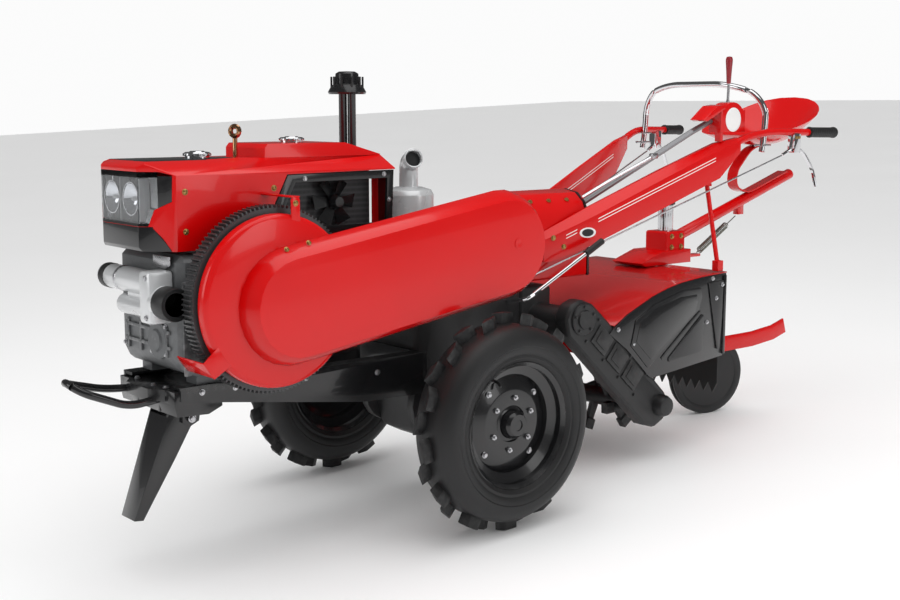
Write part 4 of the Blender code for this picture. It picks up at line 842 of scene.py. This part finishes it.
# ---------------- pressed tiller side shield ----------------
rim_line = [(0.5585, 0.4800), (0.585, 0.5000), (0.640, 0.5320), (0.755, 0.5785), (0.830, 0.5995),
            (0.900, 0.6125), (1.000, 0.6230), (1.060, 0.6260), (1.1245, 0.6280), (1.1150, 0.3465),
            (0.760, 0.3135), (0.745, 0.3215), (0.640, 0.4210)]
raised = [
    [(0.655, 0.432), (0.676, 0.512), (0.765, 0.556), (0.900, 0.588), (0.992, 0.590), (1.000, 0.560),
     (0.985, 0.516), (0.775, 0.378), (0.745, 0.352), (0.735, 0.352)],
    [(1.002, 0.500), (1.012, 0.492), (1.008, 0.380), (0.998, 0.372), (0.838, 0.358), (0.836, 0.370)],
    [(0.800, 0.376), (0.806, 0.368), (0.990, 0.500), (0.992, 0.512), (0.982, 0.512)],
    [(1.030, 0.604), (1.108, 0.606), (1.104, 0.470), (1.096, 0.372), (1.082, 0.372), (1.060, 0.470)]]
parts = [side_sheet(SHIELD_X, rim_line, 0.0036, 0.0008)]
for outline in raised:
    parts.append(side_sheet(SHIELD_X + 0.0034, outline, 0.0040, 0.0026, 3))
mid_y = sum(y for y, z in raised[0]) / len(raised[0])
mid_z = sum(z for y, z in raised[0]) / len(raised[0])
inner = [(mid_y + (y - mid_y) * 0.86, mid_z + (z - mid_z) * 0.80) for y, z in raised[0]]
parts.append(side_sheet(SHIELD_X + 0.0072, inner, 0.0016, 0.0010))
parts.append(block((SHIELD_X + 0.004, 1.1170, 0.487), (0.008, 0.012, 0.270), 0.002))
sink(joined(parts), "pressed_side_shield", black, 30, ("tiller_shield_left",))
fasten(HEX, "shield_bolt", [(0.3015, 1.054, 0.6150), (0.3055, 1.1000, 0.5912), (0.3055, 1.0700, 0.5476),
                            (0.3015, 1.0292, 0.4699), (0.3015, 0.668, 0.4360), (0.3015, 0.5980, 0.4900)],
       LEFT_OUT, 0.0055, zinc)

# ---------------- chain case dress ----------------
def along(s, across):
    """A place on the case's face: s along its slant from the top, across to the front."""
    y, z = CASE_TOP
    span = math.dist(CASE_TOP, CASE_FOOT)
    uy = (CASE_FOOT[0] - y) / span
    uz = (CASE_FOOT[1] - z) / span
    return (y + uy * s + uz * across, z + uz * s - uy * across)


parts = []
for a, b, front, back in ((0.070, 0.150, -0.036, 0.030), (0.165, 0.245, -0.036, 0.032),
                          (0.260, 0.340, -0.036, 0.034)):
    corners = [along(a, front), along(b, front), along(b, back), along(a, back)]
    parts.append(side_sheet(CASE_X, corners, 0.0060, 0.0030))
    corners = [along(a + 0.014, front + 0.012), along(b - 0.014, front + 0.012),
               along(b - 0.014, back - 0.012), along(a + 0.014, back - 0.012)]
    parts.append(side_sheet(CASE_X + 0.0055, corners, 0.0035, 0.0015))
cover = turned([(0.0, 0.0), (0.050, 0.0), (0.050, 0.0060), (0.047, 0.0085), (0.030, 0.0085),
                (0.027, 0.0135), (0.0, 0.0135)], 40)
parts.append(carried(cover, Matrix.Translation((CASE_X, SPROCKET_Y, SPROCKET_Z))))
sink(joined(parts), "chain_case_ribs", cast, 30)
spots = round_points(5, 20, 0.040, (0.3045, SPROCKET_Y, SPROCKET_Z))
fasten(HEX, "case_cover_bolt", spots, LEFT_OUT, 0.0048, satin)
spots = [(0.2970, *along(s, across)) for s in (0.055, 0.157, 0.252, 0.352) for across in (-0.043, 0.040)]
fasten(HEX, "case_edge_bolt", spots, LEFT_OUT, 0.0046, satin)

# ---------------- tail wheel, spring, loop and hoop ----------------
tail_way = Vector((math.sin(TAIL_YAW), math.cos(TAIL_YAW), 0))
tail_at = Vector((COLUMN_X, COLUMN_Y, 0.208)) + tail_way * TAIL_BACK
parts = []
for shift in (-0.0125, 0.0125):
    web = [(0.0084, -0.0070), (0.026, -0.0070), (0.030, -0.0030), (0.118, -0.0030), (0.124, -0.0065),
           (0.139, -0.0070), (0.1465, -0.0035)]
    web += [(r, -x) for r, x in reversed(web)]
    parts.append(turned([(r, shift + x) for r, x in web], 96))
parts.append(turned([(0.0082, -0.0235), (0.020, -0.0235), (0.020, 0.0235), (0.0082, 0.0235)], 32))
tail_turn = Matrix.Translation(tail_at) @ Matrix.Rotation(-TAIL_YAW, 4, "Z")
sink(carried(joined(parts), tail_turn), "twin_disc_tail_wheel", cast, 30, ("tail_wheel",),
     "tail_wheel_body")
out = Vector((math.cos(TAIL_YAW), -math.sin(TAIL_YAW), 0))
fasten(HEX, "tail_wheel_bolt", [tail_at + out * 0.0385], out, 0.0085, brass, "tail_fork_body")
pedal_at = Vector((COLUMN_X, COLUMN_Y, 0.325)) + tail_way * 0.150 + out * 0.0440
fasten(HEX, "pedal_bolt", [pedal_at], out, 0.0070, brass, "tail_fork_body")

low = Vector((COLUMN_X, 1.366, 0.6515))
high = Vector((COLUMN_X, 1.5862, 0.777))
run = (high - low).normalized()
side = Vector(LEFT_OUT)
rise = run.cross(side)
coil_steps = 26 * 9
wire = [low + Vector((0, 0, 0.0015)), low + run * 0.012]
for k in range(coil_steps + 1):
    angle = FULL * k / 9
    around = side * 0.0108 * math.cos(angle) + rise * 0.0108 * math.sin(angle)
    wire.append(low + run * (0.016 + 0.172 * k / coil_steps) + around)
wire += [low + run * 0.196, high - run * 0.002]
sink(tubing(wire, 0.0020, 8), "coiled_return_spring", spring, 60, ("return_spring",))

loop = tubing([(0.062, -0.8735, 0.436), (0.062, -0.953, 0.428), (0.045, -1.075, 0.478),
               (0.0, -1.094, 0.500), (-0.045, -1.075, 0.486), (-0.075, -0.960, 0.452),
               (-0.075, -0.8735, 0.444)], 0.0104, 24, 0.030, 8)
sink(loop, "bent_tow_loop", black, 60, ("tow_loop",))
half_hoop = [(HOOP_X, 1.330, 1.030), (HOOP_X, 1.346, 1.100), (HOOP_X, 1.346, 1.215), (0.150, 1.302, 1.262)]
hoop = tubing(half_hoop + [(-x, y, z) for x, y, z in reversed(half_hoop)], 0.0105, 24, 0.070, 12)
sink(hoop, "bent_chrome_hoop", chrome, 60, ("handle_hoop",))

# ---------------- controls and grips ----------------
def beam_x(y):
    return 0.130 + 0.189 * (y - 0.450)


end_way = Vector((beam_x(GRIP_Y) - beam_x(1.330), 0.185, -0.003)).normalized()
ribs = [(0.0, 0.0), (0.0165, 0.0), (0.0190, 0.002), (0.0190, 0.006), (0.0172, 0.009)]
for k in range(11):
    start = 0.013 + 0.0085 * k
    ribs += [(0.0166, start), (0.0178, start + 0.0018), (0.0178, start + 0.0048), (0.0166, start + 0.0066)]
ribs += [(0.0175, 0.108), (0.0194, 0.112), (0.0194, 0.119), (0.0175, 0.1235), (0.0140, 0.1258),
         (0.0, 0.1258)]
for label, s in BOTH_SIDES:
    way = Vector((end_way.x * s, end_way.y, end_way.z))
    start = Vector((beam_x(GRIP_Y) * s, GRIP_Y, 1.095)) + way * 0.0006
    spun("ribbed_grip_" + label, ribs, 40, aim(start, way), rubber, 40, ("grip_" + label,))
    out = (s, 0, 0)
    clamp_x = beam_x(1.452) * s + 0.0145 * s
    fasten(HEX, "lever_clamp_bolt_" + label, [(clamp_x, 1.444, 1.078), (clamp_x, 1.460, 1.078)], out,
           0.0042, brass)
    inner_leg = HOOP_X * s - 0.016
    outer_leg = HOOP_X * s + 0.016
    for k, z in enumerate((1.052, 1.086)):
        mark = label + "_" + str(k + 1)
        u_bolt = tubing([(inner_leg, 1.318, z), (inner_leg, 1.362, z), (outer_leg, 1.362, z),
                         (outer_leg, 1.318, z)], 0.0030, 12, 0.013)
        sink(u_bolt, "hoop_u_bolt_" + mark, zinc, 60)
        fasten(NUT, "hoop_nut_" + mark, [(inner_leg, 1.3175, z), (outer_leg, 1.3175, z)], FORWARD, 0.0050,
               zinc)

spun("shift_rod", [(0.0, 0.0), (0.0062, 0.0), (0.0050, 0.006), (0.0044, 0.0100), (0.0044, 0.060),
                   (0.0, 0.060)],
     24, aim((0.226, 1.1990, 1.1990), (0, 0.037, 1)), zinc)
spun("tapered_knob", [(0.0, 0.0), (0.0066, 0.0), (0.0074, 0.004), (0.0096, 0.045), (0.0118, 0.074),
                      (0.0116, 0.083), (0.0090, 0.090), (0.0, 0.0918)],
     36, aim((0.226, 1.2010, 1.2600), TOP), knob_red, 50, ("shift_lever",))
spun("console_face", [(0.0, 0.0), (0.040, 0.0), (0.0405, 0.0010), (0.038, 0.0022), (0.030, 0.0026),
                      (0.0, 0.0028)],
     48, Matrix.Translation((0.2518, 1.1985, 1.140)), white_face)

# ---------------- beams, drum and clamp fastenings ----------------
for label, s in BOTH_SIDES:
    fasten(HEX, "beam_bolt_" + label, [(beam_x(0.511) * s, 0.511, 0.745),
                                       (beam_x(0.485) * s, 0.470, 0.775)],
           (s, -0.18, 0), 0.0062, brass)
    hole_y, hole_z = BEAM_HOLE
    hole = aim(((beam_x(hole_y) - 0.0004) * s, hole_y, hole_z), (s, -0.189, 0))
    hole = hole @ Matrix.Diagonal((1, 1.9, 1, 1))
    spun("beam_hole_ring_" + label, [(0.012, 0.0), (0.0165, 0.0), (0.0165, 0.0012), (0.0135, 0.0020),
                                     (0.012, 0.0014)], 40, hole, white_face)
    spun("beam_hole_" + label, [(0.0, 0.0), (0.0122, 0.0), (0.0122, 0.0008), (0.0, 0.0009)], 32,
         hole, satin)
fasten(HEX, "drum_bolt", [(0.082, 0.420, 0.8875), (0.082, 0.500, 0.8875), (0.082, 0.580, 0.8875)],
       (0.55, 0, 0.84),
       0.0058, brass)
half_band = [(0.1100, 0.640), (0.1100, 0.780), (0.106, 0.838), (0.088, 0.880), (0.054, 0.908)]
arch = half_band + [(0.0, 0.9178)] + [(-x, z) for x, z in reversed(half_band)]
band = sheet([(x, 0.6525, z) for x, z in arch], (0, 0.008, 0), 0.0025)
sink(band, "drum_end_band", black, 30)
rod = tubing([(0.092, 0.640, 0.893), (0.120, 0.735, 0.944), (0.160, 0.900, 1.020)], 0.0055, 16)
sink(rod, "clutch_pull_rod", chrome, 60)
fork_end = block((0.160, 0.905, 1.022), (0.016, 0.030, 0.018), 0.003)
sink(fork_end, "rod_clevis", zinc, 40)
clamp_bolts = [(0.0222, 1.165, 0.690), (0.0222, 1.165, 0.728), (0.0222, 1.215, 0.690),
               (0.0222, 1.215, 0.728)]
fasten(HEX, "clamp_bolt", clamp_bolts, LEFT_OUT, 0.0068, brass)
column = turned([(0.0, 0.0), (0.0255, 0.0), (0.0255, 0.088), (0.0, 0.088)], 48)
flutes = ring_of(block((0.044, 0, 0.0255), (0.082, 0.0030, 0.0034), 0.0010), 18)
column = carried(joined([column, *flutes]), aim((COLUMN_X, COLUMN_Y, 0.7460), TOP))
sink(column, "fluted_column_sleeve", chrome, 40)
spun("column_crank_head", [(0.0, 0.0), (0.026, 0.0), (0.033, 0.004), (0.0338, 0.016), (0.030, 0.022),
                           (0.012, 0.024), (0.012, 0.030), (0.0, 0.031)],
     40, aim((COLUMN_X, COLUMN_Y, 0.8350), TOP), satin)
sleeve = tubing([(0.200, 0.551, 0.7246), (0.200, 0.6245, 0.7605)], 0.0106, 24)
sink(sleeve, "lever_sleeve", rubber, 60)
fasten(HEX, "rail_bolt", [(0.1605, -0.798, 0.4600), (0.1605, -0.700, 0.4600), (0.1605, -0.480, 0.4560),
                          (0.1605, -0.240, 0.4400)], LEFT_OUT, 0.0062, zinc)
fasten(HEX, "head_bolt", [(0.080, -0.858, 0.4667), (0.030, -0.868, 0.4667), (-0.080, -0.858, 0.4667)], TOP,
       0.0062,
       zinc)
fasten(HEX, "stand_bolt", [(0.0748, -0.782, 0.374)], LEFT_OUT, 0.0085, zinc, "front_stand_body")

# ---------------- engine dress ----------------
starter = Matrix.Translation((0, STARTER_Y, STARTER_Z))
spun("starter_end_cap", [(0.0, -0.1495), (0.029, -0.1495), (0.0332, -0.145), (0.0335, -0.118),
                         (0.0324, -0.116), (0.0, -0.116)], 40, starter, satin)
spun("starter_band", [(0.0325, -0.060), (0.0334, -0.058), (0.0334, -0.050), (0.0325, -0.048)], 40, starter,
     zinc)
spun("starter_drive_nose", [(0.0, 0.2120), (0.030, 0.2120), (0.0405, 0.2150), (0.0425, 0.2110),
                            (0.0425, 0.1620), (0.0418, 0.158), (0.0, 0.158)],
     48, Matrix.Translation((0, STARTER_Y + 0.004, NOSE_Z)), satin)
fasten(HEX, "starter_bolt", [(0.132, STARTER_Y - 0.0355, 0.662), (0.132, STARTER_Y - 0.0355, 0.762)],
       FORWARD, 0.0060,
       zinc)
parts = []
for z in (0.575, 0.615):
    parts.append(block((0.0, ENGINE_FRONT, z), (0.250, 0.008, 0.010), 0.002))
for x in (-0.105, -0.035, 0.035, 0.105):
    parts.append(block((x, ENGINE_FRONT, 0.590), (0.010, 0.008, 0.080), 0.002))
parts.append(block((0.1760, -0.845, 0.630), (0.006, 0.020, 0.240), 0.002))
boss = turned([(0.0, 0.0), (0.050, 0.0), (0.050, 0.006), (0.046, 0.009), (0.030, 0.009), (0.026, 0.014),
               (0.0, 0.014)], 40)
parts.append(carried(boss, aim((0.060, ENGINE_FRONT + 0.003, 0.590), FORWARD)))
sink(joined(parts), "engine_front_ribs", engine_grey, 30)
fasten(HEX, "engine_front_bolt", [(0.098, -0.8625, 0.556), (0.098, -0.8625, 0.628), (0.022, -0.8625, 0.628),
                                  (0.022, -0.8625, 0.556), (-0.130, -0.8625, 0.560)], FORWARD, 0.0056, zinc)
bracket = sheet([(0.060, -0.873, 0.812), (0.150, -0.873, 0.812), (0.150, -0.873, 0.790),
                 (0.120, -0.873, 0.780), (0.060, -0.873, 0.784)], (0, 0.004, 0), 0.001)
sink(bracket, "hood_front_bracket", zinc, 30)

intake_way = (0.050, -0.020, 0.014)
spun("air_intake_dark", [(0.0, 0.0), (0.0236, 0.0), (0.0236, 0.003), (0.0, 0.0035)], 40,
     aim((0.0945, -0.0610, 1.0330), intake_way), satin)
spun("air_intake_lip", [(0.0240, 0.0), (0.0285, 0.0), (0.0285, 0.004), (0.0265, 0.0060), (0.0240, 0.0050)],
     44,
     aim((0.1065, -0.0658, 1.0364), intake_way), silver)
spun("can_clamp_ring", [(0.0742, 0.0), (0.0772, 0.0), (0.0778, 0.003), (0.0772, 0.006), (0.0742, 0.006)],
     64,
     aim((0.062, -0.048, 0.846), TOP), zinc)

# slots round the exhaust cap
slats = joined(ring_of(block((0.030, 0, 0.046), (0.034, 0.006, 0.006), 0.0012), 10))
sink(carried(slats, aim((-0.121, -0.134, 1.224), TOP)), "cap_slats", satin, 40)

# the pressed ride-on pan, rounded by subdivision
dish = copy_of("riding_pan")
mod = dish.modifiers.new("smooth", "SUBSURF")
mod.levels = 2
mod.render_levels = 2
pick(dish)
bpy.ops.object.modifier_apply(modifier=mod.name)
sink(dish, "smooth_riding_pan", red, 50, ("riding_pan",), level=False)

# ---------------- floor, light and camera ----------------
floor_look = Finish("pale floor", (0.93, 0.93, 0.93), 0.45, shade=0.99, vary=0.03, cloud_size=0.8)
pick(None)
bpy.ops.mesh.primitive_plane_add(size=60, location=(0, 0, 0))
floor = bpy.context.object
floor.name = "floor"
floor.data.materials.append(floor_look.mat)

world = bpy.data.worlds.new("studio")
bpy.context.scene.world = world
world.use_nodes = True
air = world.node_tree
WHITE = (1.0, 1.0, 1.0, 1)
even = add(air, "ShaderNodeBackground", {0: WHITE, 1: 1.0}).outputs[0]
dim = add(air, "ShaderNodeBackground", {0: WHITE, 1: 0.10}).outputs[0]
backdrop = add(air, "ShaderNodeBackground", {0: (0.97, 0.97, 0.97, 1), 1: 1.0}).outputs[0]
rays = add(air, "ShaderNodeLightPath").outputs
lit = add(air, "ShaderNodeMixShader", {0: rays["Is Glossy Ray"], 1: even, 2: dim}).outputs[0]
seen = add(air, "ShaderNodeMixShader", {0: rays["Is Camera Ray"], 1: lit, 2: backdrop}).outputs[0]
air.links.new(seen, air.nodes["World Output"].inputs["Surface"])


def lamp(name, place, goal, size, power):
    light = bpy.data.lights.new(name, "AREA")
    light.shape = "RECTANGLE"
    light.size = size[0]
    light.size_y = size[1]
    light.energy = power
    item = bpy.data.objects.new(name, light)
    bpy.context.scene.collection.objects.link(item)
    item.location = place
    item.rotation_mode = "QUATERNION"
    item.rotation_quaternion = (Vector(goal) - Vector(place)).to_track_quat("-Z", "Y")


lamp("soft box above", (0.6, -0.2, 4.0), (0, -0.1, 0.4), (3.2, 4.2), 62)
lamp("soft box beside", (4.2, 0.8, 2.2), (0, 0.0, 0.6), (1.2, 2.6), 22)
lamp("soft box in front", (-1.6, -4.4, 2.0), (0, -0.6, 0.7), (1.6, 2.0), 20)

camera = bpy.data.cameras.new("camera")
camera.sensor_width = 36.0
camera.lens = 53.083
view = bpy.data.objects.new("camera", camera)
bpy.context.scene.collection.objects.link(view)
AZIMUTH = 0.877015
TILT = 0.144715
ahead = Vector((-math.sin(AZIMUTH) * math.cos(TILT), math.cos(AZIMUTH) * math.cos(TILT), -math.sin(TILT)))
right = Vector((math.cos(AZIMUTH), math.sin(AZIMUTH), 0))
turn = Matrix((right, right.cross(ahead), -ahead)).transposed().to_4x4()
view.matrix_world = SET_DOWN @ Matrix.Translation((3.12488, -2.43821, 1.18378)) @ turn
bpy.context.scene.camera = view
bpy.context.scene.view_settings.view_transform = "Standard"

for spare in (HEX, ROUND_HEAD, NUT):
    bpy.data.objects.remove(spare)
